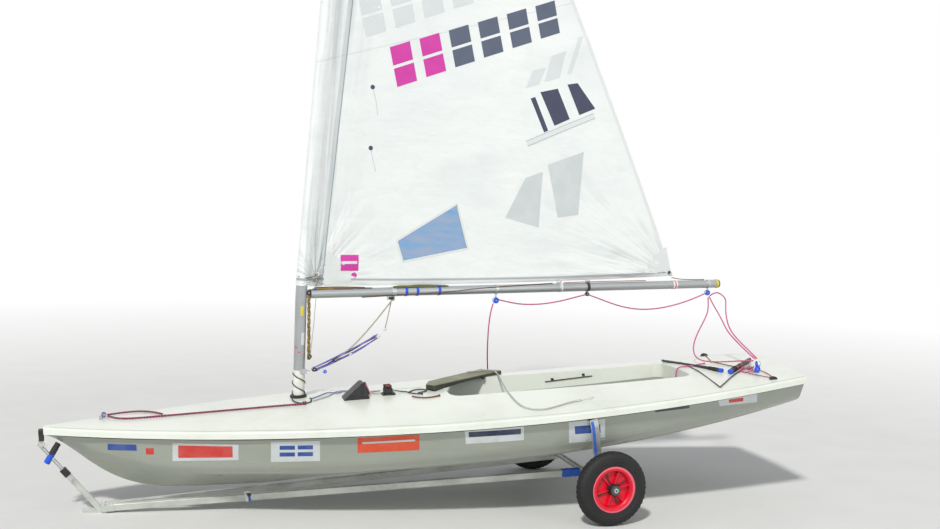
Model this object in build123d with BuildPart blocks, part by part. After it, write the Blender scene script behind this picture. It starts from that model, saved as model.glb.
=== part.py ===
from build123d import *
from collections import namedtuple
from math import cos, pi, radians, sin, tan
import os

# Single-handed sailing dinghy of 4.23 m, standing rigged on its launching trolley.
# Millimetres. Part frame: +X aft, +Y starboard, +Z up, floor at Z = 0.
# Boat sizes are given in the boat's own frame: x aft of the bow, y to starboard,
# z above the transom's deck edge. The boat stands bow-down on its trolley.

# Overall sizes of the boat
length_overall = 4230.0
bow_down_angle = 4.65
deck_edge_height = 420.4
foremost_reach = 34.5

# Rudder gudgeons on the transom; the lower one is the aftmost point
gudgeon_hole = 5.0
gudgeon_wall = 7.0
gudgeon_thickness = 16.0
gudgeon_offset = 20.0
gudgeon_base = 74.0
upper_gudgeon = -62.0
lower_gudgeon = -185.0

# Gunwale, deck and cockpit
gunwale_depth = 38.0
gunwale_radius = 10.0
moulding_gap = 0.3
bow_rise = 50.0
sheer_sag = 136.0
keel_radius = 45.0
cockpit_front = 2170.0
cockpit_back = length_overall - 590.0
cockpit_front_width = 560.0
cockpit_back_width = 500.0
cockpit_floor = -195.0
cockpit_draft = 5.0
cockpit_corner_radius = 70.0
tool_height = 140.0
tool_depth = 450.0
trunk_front = 1700.0
trunk_length = 370.0
trunk_width = 28.0

# Rig
mast_x = 1365.0
mast_rake = 5.0
mast_bend = 3.5
lower_mast_diameter = 63.5
upper_mast_diameter = 50.8
spar_wall = 3.0
mast_step_depth = 365.0
step_clearance = 0.6
gooseneck_height = 574.0
bend_radius = 900.0
lower_mast_above_bend = 860.0
mast_top = 4150.0
boom_swing = 9.1
boom_droop = 3.9
boom_diameter = 51.0
boom_start = 52.0
boom_length = 2690.0

# Sail, in its own plane: along from the mast, and up along the bent-back mast
sail_thickness = 4.0
sleeve_clearance = 0.3
tack_height = 48.0
head_height = 4090.0
head_width = 95.0
clew_along = 2398.0
clew_height = 245.0
leech_along = 1514.0
leech_height = 1833.0
foot_along = 1214.0
foot_height = 129.0

# Trolley
wheel_diameter = 406.0
wheel_width = 84.0
wheel_toe = 6.0
rim_diameter = 257.0
wheel_track = 1394.0
axle_x = 2932.0
axle_diameter = 34.0
axle_bore_clearance = 0.3
beam_size = 37.0
beam_wall = 3.0
beam_back_spread = 220.0
beam_back_drop = 14.0
post_size = 30.0
hanger_width = 45.0
hanger_thickness = 9.0


def sheer(x):
    share = 1.0 - x / length_overall
    return bow_rise * share ** 2 - sheer_sag * share * (1.0 - share)


pitch_cos = cos(radians(bow_down_angle))
pitch_sin = sin(radians(bow_down_angle))
gudgeon_reach = length_overall + gudgeon_offset + gudgeon_hole + gudgeon_wall
rearmost_reach = gudgeon_reach * pitch_cos - (lower_gudgeon - gudgeon_thickness / 2) * pitch_sin
middle_x = (rearmost_reach - foremost_reach) / 2.0


def at(x, y, z):
    """Part-frame place of a point given in the boat's frame."""
    return Vector(x * pitch_cos - z * pitch_sin - middle_x, y,
                  x * pitch_sin + z * pitch_cos + deck_edge_height)


def turned(x, y, z):
    """Part-frame direction of a direction given in the boat's frame."""
    return Vector(x * pitch_cos - z * pitch_sin, y, x * pitch_sin + z * pitch_cos)


def across(x):
    """Plane across the boat: local x to starboard, local y up."""
    return Plane(origin=at(x, 0, 0), x_dir=(0, 1, 0), z_dir=turned(1, 0, 0))


def level(z):
    """Plane along the deck: local x aft, local y to starboard."""
    return Plane(origin=at(0, 0, z), x_dir=turned(1, 0, 0), z_dir=turned(0, 0, 1))


def beside(y):
    """Plane along the keel, seen from port: local x aft, local y up."""
    return Plane(origin=at(0, y, 0), x_dir=turned(1, 0, 0), z_dir=(0, -1, 0))


def tube_plane(start, end):
    return Plane(origin=start, z_dir=(end - start).normalized())


def save(piece, name):
    piece.part.label = name
    export_step(piece.part, "parts/" + name + ".step")


os.makedirs("parts", exist_ok=True)

# Hull: solid below the deck moulding, with the cockpit well and the board's trunk cut open
Station = namedtuple("Station", "percent top bilge bilge_z keel_z radius")
hull_stations = [
    Station(0.236, 20, 13, 8, 2, 3),
    Station(2.128, 55, 40, -12, -46, 15),
    Station(5.91, 139, 100, -75, -195, 40),
    Station(11.82, 250, 185, -165, -332, 80),
    Station(20.095, 381, 295, -225, -368, 120),
    Station(31.915, 519, 420, -262, -383, 150),
    Station(47.281, 637, 540, -275, -378, 170),
    Station(63.83, 678, 585, -270, -368, 170),
    Station(80.378, 622, 530, -235, -340, 150),
    Station(92.199, 537, 455, -190, -272, 120),
    Station(100.0, 460, 385, -150, -230, 90),
]

DeckStation = namedtuple("DeckStation", "percent half crown")
deck_stations = [
    DeckStation(0.0, 32, 4),
    DeckStation(1.418, 66, 8),
    DeckStation(3.546, 113, 14),
    DeckStation(7.092, 187, 25),
    DeckStation(11.82, 274, 38),
    DeckStation(20.095, 406, 60),
    DeckStation(31.915, 544, 83),
    DeckStation(47.281, 662, 86),
    DeckStation(63.83, 703, 70),
    DeckStation(80.378, 647, 52),
    DeckStation(92.199, 562, 45),
    DeckStation(100.0, 485, 40),
]


def between(x, column):
    """Value of a column of the deck's table at a place along the boat."""
    percent = 100.0 * x / length_overall
    for first, second in zip(deck_stations, deck_stations[1:]):
        if first.percent <= percent <= second.percent:
            share = (percent - first.percent) / (second.percent - first.percent)
            return getattr(first, column) + share * (getattr(second, column) - getattr(first, column))
    return getattr(deck_stations[-1], column)


def deck_top(x):
    """Height of the deck at the middle of the boat."""
    return sheer(x) + between(x, "crown")


def deck_half(x):
    return between(x, "half")


def deck_height(x, y):
    """Height of the cambered deck at a place on it."""
    crown = deck_top(x) - sheer(x)
    return sheer(x) + crown * (1.0 - (y / deck_half(x)) ** 2)


with BuildPart() as cockpit_space:
    with BuildSketch(level(tool_height)) as cockpit_outline:
        with BuildLine():
            Polyline(
                (cockpit_front, cockpit_front_width / 2),
                (cockpit_back, cockpit_back_width / 2),
                (cockpit_back, -cockpit_back_width / 2),
                (cockpit_front, -cockpit_front_width / 2),
                close=True,
            )
        make_face()
        fillet(cockpit_outline.vertices(), cockpit_corner_radius)
    extrude(amount=-(tool_height - cockpit_floor), taper=cockpit_draft)

with BuildPart() as trunk_space:
    with BuildSketch(level(-tool_depth)):
        with Locations((trunk_front + trunk_length / 2, 0)):
            SlotOverall(trunk_length, trunk_width)
    extrude(amount=tool_depth + tool_height)

mast_foot_z = deck_top(mast_x) - mast_step_depth
mast_slope = tan(radians(mast_rake))
lower_mast_way = turned(sin(radians(mast_rake)), 0, cos(radians(mast_rake)))
mast_foot = at(mast_x - mast_step_depth * mast_slope, 0, mast_foot_z)
deck_point = at(mast_x, 0, deck_top(mast_x))
mast_socket = Plane(origin=mast_foot, z_dir=lower_mast_way)

with BuildPart() as socket_space:
    with BuildSketch(mast_socket):
        Circle(lower_mast_diameter / 2 + step_clearance)
    extrude(amount=mast_step_depth + tool_height)

with BuildPart() as hull:
    for row in hull_stations:
        station_x = row.percent / 100.0 * length_overall
        top_z = sheer(station_x) - gunwale_depth - moulding_gap
        with BuildSketch(across(station_x)):
            with BuildLine():
                Line((-row.top, top_z), (row.top, top_z))
                FilletPolyline(
                    (row.top, top_z),
                    (row.bilge, row.bilge_z),
                    (0, row.keel_z),
                    (-row.bilge, row.bilge_z),
                    (-row.top, top_z),
                    radius=[row.radius, min(keel_radius, row.bilge / 4), row.radius],
                )
            make_face()
    loft()
    add(cockpit_space.part, mode=Mode.SUBTRACT)
    add(trunk_space.part, mode=Mode.SUBTRACT)
    add(socket_space.part, mode=Mode.SUBTRACT)
save(hull, "hull")

# Deck moulding: cambered lid with the rolled gunwale on its edge
with BuildPart() as deck_blank:
    for row in deck_stations:
        station_x = row.percent / 100.0 * length_overall
        edge_z = sheer(station_x)
        inset = row.half - gunwale_radius
        turn = gunwale_radius * (1 - cos(pi / 4))
        with BuildSketch(across(station_x)):
            with BuildLine():
                Line((-row.half, edge_z - gunwale_depth), (row.half, edge_z - gunwale_depth))
                Line((row.half, edge_z - gunwale_depth), (row.half, edge_z - gunwale_radius))
                ThreePointArc((row.half, edge_z - gunwale_radius), (row.half - turn, edge_z - turn),
                              (inset, edge_z))
                ThreePointArc((inset, edge_z), (0, edge_z + row.crown), (-inset, edge_z))
                ThreePointArc((-inset, edge_z), (-row.half + turn, edge_z - turn),
                              (-row.half, edge_z - gunwale_radius))
                Line((-row.half, edge_z - gunwale_radius), (-row.half, edge_z - gunwale_depth))
            make_face()
    loft()

with BuildPart() as deck:
    add(deck_blank.part)
    add(cockpit_space.part, mode=Mode.SUBTRACT)
    add(trunk_space.part, mode=Mode.SUBTRACT)
    add(socket_space.part, mode=Mode.SUBTRACT)
save(deck, "deck")


# Deck fittings: each is made through the deck's surface and trimmed to it
collar_height = 12.0
collar_wall = 13.0
collar_clearance = 1.5

with BuildPart() as mast_collar:
    with BuildSketch(level(deck_top(mast_x) - 8)):
        with Locations((mast_x, 0)):
            Circle(lower_mast_diameter / 2 + collar_clearance + collar_wall)
    extrude(amount=8 + collar_height)
    with BuildSketch(mast_socket):
        Circle(lower_mast_diameter / 2 + collar_clearance)
    extrude(amount=mast_step_depth + tool_height, mode=Mode.SUBTRACT)
    add(deck_blank.part, mode=Mode.SUBTRACT)
save(mast_collar, "mast_collar")

bow_eye_x = 315.0
bow_eye_length = 56.0
bow_eye_width = 22.0
bow_eye_bar = 9.0
bow_eye_height = 24.0

with BuildPart() as bow_eye:
    with BuildSketch(level(deck_top(bow_eye_x) - 6)):
        with Locations((bow_eye_x, 0)):
            SlotOverall(bow_eye_length, bow_eye_width)
    extrude(amount=6 + 4)
    with BuildSketch(beside(bow_eye_bar / 2)):
        with Locations((bow_eye_x, deck_top(bow_eye_x) + 4)):
            Circle(bow_eye_height)
            Circle(bow_eye_height - bow_eye_bar, mode=Mode.SUBTRACT)
            with Locations((0, -bow_eye_height)):
                Rectangle(3 * bow_eye_height, 2 * bow_eye_height, mode=Mode.SUBTRACT)
    extrude(amount=bow_eye_bar)
    add(deck_blank.part, mode=Mode.SUBTRACT)
save(bow_eye, "bow_eye")

# Compass housing: a wedge with its dial facing aft
wedge_x = 1590.0
wedge_length = 140.0
wedge_height = 88.0
wedge_width = 104.0
wedge_y = -140.0
dial_diameter = 76.0
dial_depth = 16.0
wedge_base = deck_height(wedge_x, wedge_y)

with BuildPart() as compass_housing:
    with BuildSketch(beside(wedge_y + wedge_width / 2)):
        with BuildLine():
            Polyline(
                (wedge_x, wedge_base - 20),
                (wedge_x + wedge_length, wedge_base - 20),
                (wedge_x + wedge_length, wedge_base + 4),
                (wedge_x + wedge_length * 0.82, wedge_base + wedge_height),
                (wedge_x + wedge_length * 0.74, wedge_base + wedge_height),
                (wedge_x, wedge_base + 4),
                close=True,
            )
        make_face()
    extrude(amount=wedge_width)
    add(deck_blank.part, mode=Mode.SUBTRACT)
save(compass_housing, "compass_housing")

dial_way = turned(wedge_height - 4, 0, wedge_length * 0.18).normalized()
dial_middle = at(wedge_x + wedge_length * 0.91, wedge_y, wedge_base + 4 + (wedge_height - 4) / 2)
with BuildPart() as compass_dial:
    with BuildSketch(Plane(origin=dial_middle, z_dir=dial_way)):
        Circle(dial_diameter / 2)
    extrude(amount=dial_depth)
    fillet(compass_dial.faces().sort_by(Axis(dial_middle, dial_way))[-1].edges(), 3)
save(compass_dial, "compass_dial")

# Control-line plate aft of the mast: two cam cleats on a low plate
plate_x = 1850.0
plate_y = -110.0
plate_length = 74.0
plate_width = 84.0
plate_thickness = 5.0
cleat_height = 46.0
cleat_spacing = 38.0
cleat_length = 44.0
cleat_width = 24.0
jaw_radius = 9.0

with BuildPart() as control_cleats:
    with BuildSketch(level(deck_top(plate_x) - 24)):
        with Locations((plate_x, plate_y)):
            RectangleRounded(plate_length, plate_width, 10)
    extrude(amount=24 + plate_thickness)
    with BuildSketch(level(deck_top(plate_x) + plate_thickness)):
        with Locations((plate_x, plate_y)):
            with GridLocations(0, cleat_spacing, 1, 2):
                RectangleRounded(cleat_length, cleat_width, 8)
    extrude(amount=cleat_height - 20)
    with BuildSketch(level(deck_top(plate_x) + plate_thickness)):
        with Locations((plate_x, plate_y)):
            with GridLocations(cleat_length / 2, cleat_spacing, 2, 2):
                Circle(jaw_radius)
    extrude(amount=cleat_height)
    add(deck_blank.part, mode=Mode.SUBTRACT)
save(control_cleats, "control_cleats")

# Toe strap along the cockpit on two feet
strap_width = 50.0
strap_thickness = 3.0
strap_drop = 75.0

with BuildPart() as toe_strap:
    with BuildSketch(level(cockpit_floor + strap_drop)):
        with Locations(((cockpit_front + cockpit_back) / 2, 0)):
            Rectangle(cockpit_back - cockpit_front - 110, strap_width)
    extrude(amount=strap_thickness)
    for foot_x in (cockpit_front + 75, cockpit_back - 75):
        with BuildSketch(level(cockpit_floor)):
            with Locations((foot_x, 0)):
                Rectangle(16, strap_width)
        extrude(amount=strap_drop + strap_thickness)
save(toe_strap, "toe_strap")

# Traveller fairleads near the quarters and the traveller's block
fairlead_x = length_overall - 202.0
fairlead_y = 470.0
fairlead_length = 46.0
fairlead_width = 16.0
fairlead_height = 16.0

lead_z = deck_height(fairlead_x, fairlead_y)
for side, word in ((-1, "port"), (1, "starboard")):
    with BuildPart() as fairlead:
        with BuildSketch(beside(side * fairlead_y + fairlead_width / 2)):
            with Locations((fairlead_x, lead_z)):
                Ellipse(fairlead_length / 2, fairlead_height)
        extrude(amount=fairlead_width)
        add(deck_blank.part, mode=Mode.SUBTRACT)
    save(fairlead, "fairlead_" + word)

traveller_block_x = length_overall - 235.0
traveller_block_y = -330.0
with BuildPart() as traveller_block:
    block_z = deck_height(traveller_block_x, traveller_block_y)
    with BuildSketch(beside(traveller_block_y + 11)):
        with Locations((traveller_block_x, block_z + 21)):
            Circle(21.5)
        with Locations((traveller_block_x + 8, block_z + 50)):
            Circle(19)
    extrude(amount=22)
    fillet(traveller_block.edges().filter_by(GeomType.CIRCLE), 4)
    add(deck_blank.part, mode=Mode.SUBTRACT)
save(traveller_block, "traveller_block")

# Tiller and its extension, taken off and laid on the aft deck: each end ahead of the transom
# and to starboard
tiller_diameter = 30.0
tiller_ends = [(395, -305), (145, -62)]
extension_diameter = 24.0
extension_ends = [(415, -255), (565, 290)]
extension_lift = 2.0


def deck_rest(x, y, radius):
    """Point one radius above the deck, for a bar that lies on it."""
    return at(x, y, deck_height(x, y) + radius + 1.0)


tiller_start, tiller_end = [deck_rest(length_overall - ahead, side, tiller_diameter / 2)
                            for ahead, side in tiller_ends]
with BuildPart() as tiller:
    with BuildSketch(tube_plane(tiller_start, tiller_end)):
        Circle(tiller_diameter / 2)
    extrude(amount=(tiller_end - tiller_start).length)
    add(deck_blank.part, mode=Mode.SUBTRACT)
save(tiller, "tiller")

extension_radius = extension_diameter / 2 + extension_lift
extension_start, extension_end = [deck_rest(length_overall - ahead, side, extension_radius)
                                  for ahead, side in extension_ends]
with BuildPart() as tiller_extension:
    with BuildSketch(tube_plane(extension_start, extension_end)):
        Circle(extension_diameter / 2)
    extrude(amount=(extension_end - extension_start).length)
    add(deck_blank.part, mode=Mode.SUBTRACT)
    add(cockpit_space.part, mode=Mode.SUBTRACT)
save(tiller_extension, "tiller_extension")

# Daggerboard, pulled out and laid flat across the front of the cockpit on three points of the
# deck, each aft of the cockpit's front edge and to starboard
board_rests = [(-10, -15), (-85, 45), (390, 400)]
board_thickness = 28.0
board_width = 150.0
board_length = 780.0
board_ahead = 132.0
board_lift = 0.3
board_slant = 150.0
board_corner = 12.0
board_edge = 7.0


def deck_spot(x, y):
    return at(x, y, deck_height(x, y))


rest_near, rest_far, rest_back = [deck_spot(cockpit_front + aft, side) for aft, side in board_rests]
board_way = (rest_back - rest_near).normalized()
board_up = board_way.cross(rest_far - rest_near).normalized()
board_place = rest_near - board_way * board_ahead + board_up * board_lift
with BuildPart() as daggerboard:
    with BuildSketch(Plane(origin=board_place, x_dir=board_way, z_dir=board_up)):
        with BuildLine():
            Polyline(
                (0, -board_width / 2 + 20),
                (board_length, -board_width / 2),
                (board_length, board_width / 2),
                (board_slant, board_width / 2),
                (24, board_width * 0.1),
                close=True,
            )
        make_face()
    extrude(amount=board_thickness)
    fillet(daggerboard.edges().filter_by(Axis(board_place, board_up)), board_corner)
    fillet(daggerboard.faces().sort_by(Axis(board_place, board_up))[-1].edges(), board_edge)
    add(deck_blank.part, mode=Mode.SUBTRACT)
save(daggerboard, "daggerboard")

# Rudder gudgeons with upright holes
for height, name in ((upper_gudgeon, "upper_gudgeon"), (lower_gudgeon, "lower_gudgeon")):
    with BuildPart() as gudgeon:
        with BuildSketch(level(height - gudgeon_thickness / 2)):
            with Locations((length_overall + 2, 0)):
                Rectangle(4, gudgeon_base)
            with Locations((length_overall + gudgeon_offset / 2, 0)):
                Rectangle(gudgeon_offset, 2 * (gudgeon_hole + gudgeon_wall))
            with Locations((length_overall + gudgeon_offset, 0)):
                Circle(gudgeon_hole + gudgeon_wall)
                Circle(gudgeon_hole, mode=Mode.SUBTRACT)
        extrude(amount=gudgeon_thickness)
    save(gudgeon, name)

# Spars: the lower mast is bent back at the gooseneck
bend_x = mast_x + gooseneck_height * mast_slope
bend_z = deck_top(mast_x) + gooseneck_height
lean = radians(mast_rake + mast_bend)
gooseneck_point = at(bend_x, 0, bend_z)
upper_mast_way = turned(sin(lean), 0, cos(lean))
mast_bottom_gap = 0.3


def up_mast(distance):
    return gooseneck_point + upper_mast_way * distance


with BuildPart() as lower_mast:
    with BuildLine(beside(0)) as lower_mast_line:
        FilletPolyline(
            (mast_x - (mast_step_depth - mast_bottom_gap) * mast_slope, mast_foot_z + mast_bottom_gap),
            (bend_x, bend_z),
            (bend_x + lower_mast_above_bend * sin(lean), bend_z + lower_mast_above_bend * cos(lean)),
            radius=bend_radius,
        )
    with BuildSketch(Plane(origin=lower_mast_line.line @ 0, z_dir=lower_mast_line.line % 0)):
        Circle(lower_mast_diameter / 2)
        Circle(lower_mast_diameter / 2 - spar_wall, mode=Mode.SUBTRACT)
    sweep(path=lower_mast_line.line)
save(lower_mast, "lower_mast")

seat_gap = 0.1
with BuildPart() as lower_mast_space:
    with BuildSketch(Plane(origin=lower_mast_line.line @ 0, z_dir=lower_mast_line.line % 0)):
        Circle(lower_mast_diameter / 2 + seat_gap)
    sweep(path=lower_mast_line.line)

joint_ring = 8.0
joint_depth = 120.0
plug_clearance = 0.2
with BuildPart() as mast_joint:
    with BuildSketch(Plane(origin=up_mast(lower_mast_above_bend), z_dir=upper_mast_way)):
        Circle(lower_mast_diameter / 2)
    extrude(amount=joint_ring)
    with BuildSketch(Plane(origin=up_mast(lower_mast_above_bend), z_dir=upper_mast_way)):
        Circle(lower_mast_diameter / 2 - spar_wall - plug_clearance)
    extrude(amount=-joint_depth)
    with BuildSketch(Plane(origin=up_mast(lower_mast_above_bend + joint_ring), z_dir=upper_mast_way)):
        Circle(upper_mast_diameter / 2 - spar_wall - plug_clearance)
    extrude(amount=joint_depth)
save(mast_joint, "mast_joint")

with BuildPart() as upper_mast:
    with BuildSketch(Plane(origin=up_mast(lower_mast_above_bend + joint_ring), z_dir=upper_mast_way)):
        Circle(upper_mast_diameter / 2)
        Circle(upper_mast_diameter / 2 - spar_wall, mode=Mode.SUBTRACT)
    extrude(amount=mast_top - lower_mast_above_bend - joint_ring)
save(upper_mast, "upper_mast")

with BuildPart() as mast_cap:
    with BuildSketch(Plane(origin=up_mast(mast_top), z_dir=upper_mast_way)):
        Circle(upper_mast_diameter / 2)
    extrude(amount=6)
    with BuildSketch(Plane(origin=up_mast(mast_top), z_dir=upper_mast_way)):
        Circle(upper_mast_diameter / 2 - spar_wall - plug_clearance)
    extrude(amount=-30)
save(mast_cap, "mast_cap")

swing = radians(boom_swing)
droop = radians(boom_droop)
boom_way = turned(cos(droop) * cos(swing), cos(droop) * sin(swing), -sin(droop))
boom_side = Vector(0, 0, 1).cross(boom_way).normalized()


def along_boom(distance, drop=0.0):
    """Point on the boom's axis, counted from the mast's axis, or below it."""
    return gooseneck_point + boom_way * distance + boom_way.cross(boom_side) * -drop


with BuildPart() as boom:
    with BuildSketch(Plane(origin=along_boom(boom_start), z_dir=boom_way)):
        Circle(boom_diameter / 2)
        Circle(boom_diameter / 2 - spar_wall, mode=Mode.SUBTRACT)
    extrude(amount=boom_length)
save(boom, "boom")

pin_diameter = 12.0
pin_clearance = 0.3
boom_plug_head = 6.0
with BuildPart() as boom_front_plug:
    with BuildSketch(Plane(origin=along_boom(boom_start), z_dir=boom_way)):
        Circle(boom_diameter / 2)
    extrude(amount=-boom_plug_head)
    with BuildSketch(Plane(origin=along_boom(boom_start), z_dir=boom_way)):
        Circle(boom_diameter / 2 - spar_wall - plug_clearance)
    extrude(amount=45)
    with BuildSketch(Plane(origin=along_boom(boom_start - boom_plug_head), z_dir=boom_way)):
        Circle(pin_diameter / 2 + pin_clearance)
    extrude(amount=40, mode=Mode.SUBTRACT)
save(boom_front_plug, "boom_front_plug")

with BuildPart() as boom_end_plug:
    with BuildSketch(Plane(origin=along_boom(boom_start + boom_length), z_dir=boom_way)):
        Circle(boom_diameter / 2)
    extrude(amount=7)
    with BuildSketch(Plane(origin=along_boom(boom_start + boom_length), z_dir=boom_way)):
        Circle(boom_diameter / 2 - spar_wall - plug_clearance)
    extrude(amount=-40)
save(boom_end_plug, "boom_end_plug")

gooseneck_plate = 46.0
with BuildPart() as gooseneck:
    with BuildSketch(Plane(origin=along_boom(boom_start - boom_plug_head - 1), z_dir=boom_way)):
        RectangleRounded(26, gooseneck_plate, 5)
    extrude(amount=-(boom_start - boom_plug_head - 1))
    with BuildSketch(Plane(origin=along_boom(boom_start - boom_plug_head - 1), z_dir=boom_way)):
        Circle(pin_diameter / 2)
    extrude(amount=34)
    add(lower_mast_space.part, mode=Mode.SUBTRACT)
save(gooseneck, "gooseneck")

tang_height = 150.0
with BuildPart() as vang_tang:
    tang_middle = deck_point + lower_mast_way * tang_height
    with BuildSketch(Plane(origin=tang_middle, z_dir=(1, 0, 0))):
        Rectangle(26, 74)
    extrude(amount=lower_mast_diameter / 2 + 5)
    with BuildSketch(Plane(origin=tang_middle, z_dir=(1, 0, 0))):
        Rectangle(6, 26)
    extrude(amount=lower_mast_diameter / 2 + 26)
    add(lower_mast_space.part, mode=Mode.SUBTRACT)
save(vang_tang, "vang_tang")

key_along = 530.0
with BuildPart() as vang_key:
    with BuildSketch(Plane(origin=along_boom(key_along), x_dir=boom_way, z_dir=-boom_side)):
        with Locations((0, -boom_diameter / 2 - 8)):
            RectangleRounded(44, 26, 4)
    extrude(amount=5, both=True)
    with BuildSketch(Plane(origin=along_boom(key_along - 40), z_dir=boom_way)):
        Circle(boom_diameter / 2 + 0.1)
    extrude(amount=80, mode=Mode.SUBTRACT)
save(vang_key, "vang_key")

# Sheet blocks under the boom, each on a strap round it
BoomBlock = namedtuple("BoomBlock", "name inset drop diameter")
boom_end = boom_start + boom_length
boom_blocks = [
    BoomBlock("boom_end_block", 72, 56, 34),
    BoomBlock("boom_middle_strap", 938, 44, 26),
    BoomBlock("boom_forward_block", 1550, 70, 40),
]
strap_band = 22.0
block_parts = []
for row in boom_blocks:
    with BuildPart() as boom_block:
        with BuildSketch(Plane(origin=along_boom(boom_end - row.inset - strap_band / 2), z_dir=boom_way)):
            Circle(boom_diameter / 2 + 2.5)
            Circle(boom_diameter / 2 + 0.1, mode=Mode.SUBTRACT)
        extrude(amount=strap_band)
        with BuildSketch(Plane(origin=along_boom(boom_end - row.inset), x_dir=boom_way, z_dir=-boom_side)):
            with Locations((0, -row.drop)):
                Circle(row.diameter / 2)
            with Locations((0, -(row.drop + boom_diameter / 2) / 2 - 1)):
                Rectangle(12, row.drop - boom_diameter / 2)
        extrude(amount=9, both=True)
    save(boom_block, row.name)
    block_parts.append(boom_block.part)

# Sail: flat cloth in the plane of mast and clew, with its sleeve round the mast
sail_way = (boom_way - upper_mast_way * boom_way.dot(upper_mast_way)).normalized()
sail_plane = Plane(origin=gooseneck_point, x_dir=sail_way, z_dir=sail_way.cross(upper_mast_way))
sleeve_radius = lower_mast_diameter / 2 + sleeve_clearance
luff_along = sleeve_radius + 0.5
with BuildPart() as sail:
    with BuildSketch(sail_plane):
        with BuildLine():
            ThreePointArc((luff_along, tack_height), (foot_along, foot_height),
                          (clew_along, clew_height))
            ThreePointArc((clew_along, clew_height), (leech_along, leech_height),
                          (head_width, head_height))
            Line((head_width, head_height), (luff_along, head_height))
            Line((luff_along, head_height), (luff_along, tack_height))
        make_face()
    extrude(amount=sail_thickness / 2, both=True)
    with BuildSketch(Plane(origin=up_mast(tack_height), z_dir=upper_mast_way)):
        Circle(sleeve_radius + 1.8)
        Circle(sleeve_radius, mode=Mode.SUBTRACT)
    extrude(amount=head_height - tack_height)
save(sail, "sail")


# Trolley: places are from the bow, to starboard and above the floor
def on_floor(x, y, z):
    return Vector(x - middle_x, y, z)


axle_middle = at(axle_x, 0, 0)
axle_height = wheel_diameter / 2
axle_place = axle_middle.X + middle_x + 37.0
track_half = wheel_track / 2
hub_length = 110.0
stub_diameter = 25.0
stub_beyond_hub = 9.0
stub_root = 20.0
hub_gap = 8.0


def outboard(side):
    """Direction of a wheel's own axle, turned aft by the toe."""
    return Vector(sin(radians(wheel_toe)), side * cos(radians(wheel_toe)), 0)


with BuildPart() as axle:
    with BuildSketch(Plane(origin=on_floor(axle_place, 0, axle_height), z_dir=(0, 1, 0))):
        Circle(axle_diameter / 2)
    extrude(amount=track_half - hub_length / 2 - hub_gap, both=True)
    for side in (-1, 1):
        wheel_middle = on_floor(axle_place, side * track_half, axle_height)
        with BuildSketch(Plane(origin=wheel_middle, z_dir=outboard(side))):
            Circle(stub_diameter / 2)
        extrude(amount=hub_length / 2 + stub_beyond_hub)
        with BuildSketch(Plane(origin=wheel_middle, z_dir=outboard(side))):
            Circle(stub_diameter / 2)
        extrude(amount=-hub_length / 2 - stub_root)
save(axle, "axle")

with BuildPart() as axle_space:
    with BuildSketch(Plane(origin=on_floor(axle_place, 0, axle_height), z_dir=(0, 1, 0))):
        Circle(axle_diameter / 2)
    extrude(amount=track_half, both=True)

apex_x = 345.0
apex_height = 27.0
apex_spread = 24.0
beams = []
for side, word in ((-1, "port"), (1, "starboard")):
    beam_front = on_floor(apex_x, side * apex_spread, apex_height)
    beam_back = on_floor(axle_place, side * beam_back_spread, axle_height - beam_back_drop)
    beam_way = (beam_back - beam_front).normalized()
    with BuildPart() as beam:
        with BuildSketch(Plane(origin=beam_front, x_dir=(0, 1, 0), z_dir=beam_way)):
            RectangleRounded(beam_size, beam_size, 4)
            Rectangle(beam_size - 2 * beam_wall, beam_size - 2 * beam_wall, mode=Mode.SUBTRACT)
        extrude(amount=(beam_back - beam_front).length)
        add(axle_space.part, mode=Mode.SUBTRACT)
    save(beam, "beam_" + word)
    beams.append(beam.part)

bracket_length = 72.0
bracket_width = 96.0
bracket_height = 34.0
bracket_lap = 24.0
with BuildPart() as front_bracket:
    with BuildSketch(Plane(origin=on_floor(apex_x - bracket_length, 0, apex_height - bracket_height / 2))):
        with Locations((bracket_length / 2 + bracket_lap, 0)):
            RectangleRounded(bracket_length, bracket_width, 8)
    extrude(amount=bracket_height)
    for beam_part in beams:
        add(beam_part, mode=Mode.SUBTRACT)
save(front_bracket, "front_bracket")

foot_front = 200.0
foot_width = 70.0
foot_thickness = 12.0
post_foot_x = 296.0
with BuildPart() as front_foot:
    with BuildSketch(Plane(origin=on_floor(foot_front, 0, 0))):
        with Locations(((apex_x - 12 - foot_front) / 2, 0)):
            RectangleRounded(apex_x - 12 - foot_front, foot_width, 10)
    extrude(amount=foot_thickness)
    add(front_bracket.part, mode=Mode.SUBTRACT)
save(front_foot, "front_foot")

post_foot = on_floor(post_foot_x, 0, foot_thickness)
post_top = on_floor(-27.0, 0, 378.0)
post_way = (post_top - post_foot).normalized()
post_length = 255.0
post_root = 40.0
sleeve_length = 46.0
thin_tube_diameter = 20.0
tube_seat = 120.0


def on_post(distance):
    """Plane across the post, its local y up and forward."""
    return Plane(origin=post_foot + post_way * distance, x_dir=(0, 1, 0), z_dir=post_way)


with BuildPart() as front_post:
    with BuildSketch(on_post(-post_root)):
        RectangleRounded(post_size, post_size, 4)
    extrude(amount=post_length + post_root)
    with BuildSketch(on_post(post_length - tube_seat)):
        Circle(thin_tube_diameter / 2 + 0.2)
    extrude(amount=tube_seat + 1, mode=Mode.SUBTRACT)
    add(front_foot.part, mode=Mode.SUBTRACT)
    add(front_bracket.part, mode=Mode.SUBTRACT)
    with BuildSketch(Plane.XY):
        Rectangle(3 * length_overall, 3 * length_overall)
    extrude(amount=-200, mode=Mode.SUBTRACT)
save(front_post, "front_post")

with BuildPart() as post_tube:
    with BuildSketch(on_post(post_length - tube_seat + 1)):
        Circle(thin_tube_diameter / 2)
    extrude(amount=(post_top - post_foot).length - post_length + tube_seat - 1)
save(post_tube, "post_tube")

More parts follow.
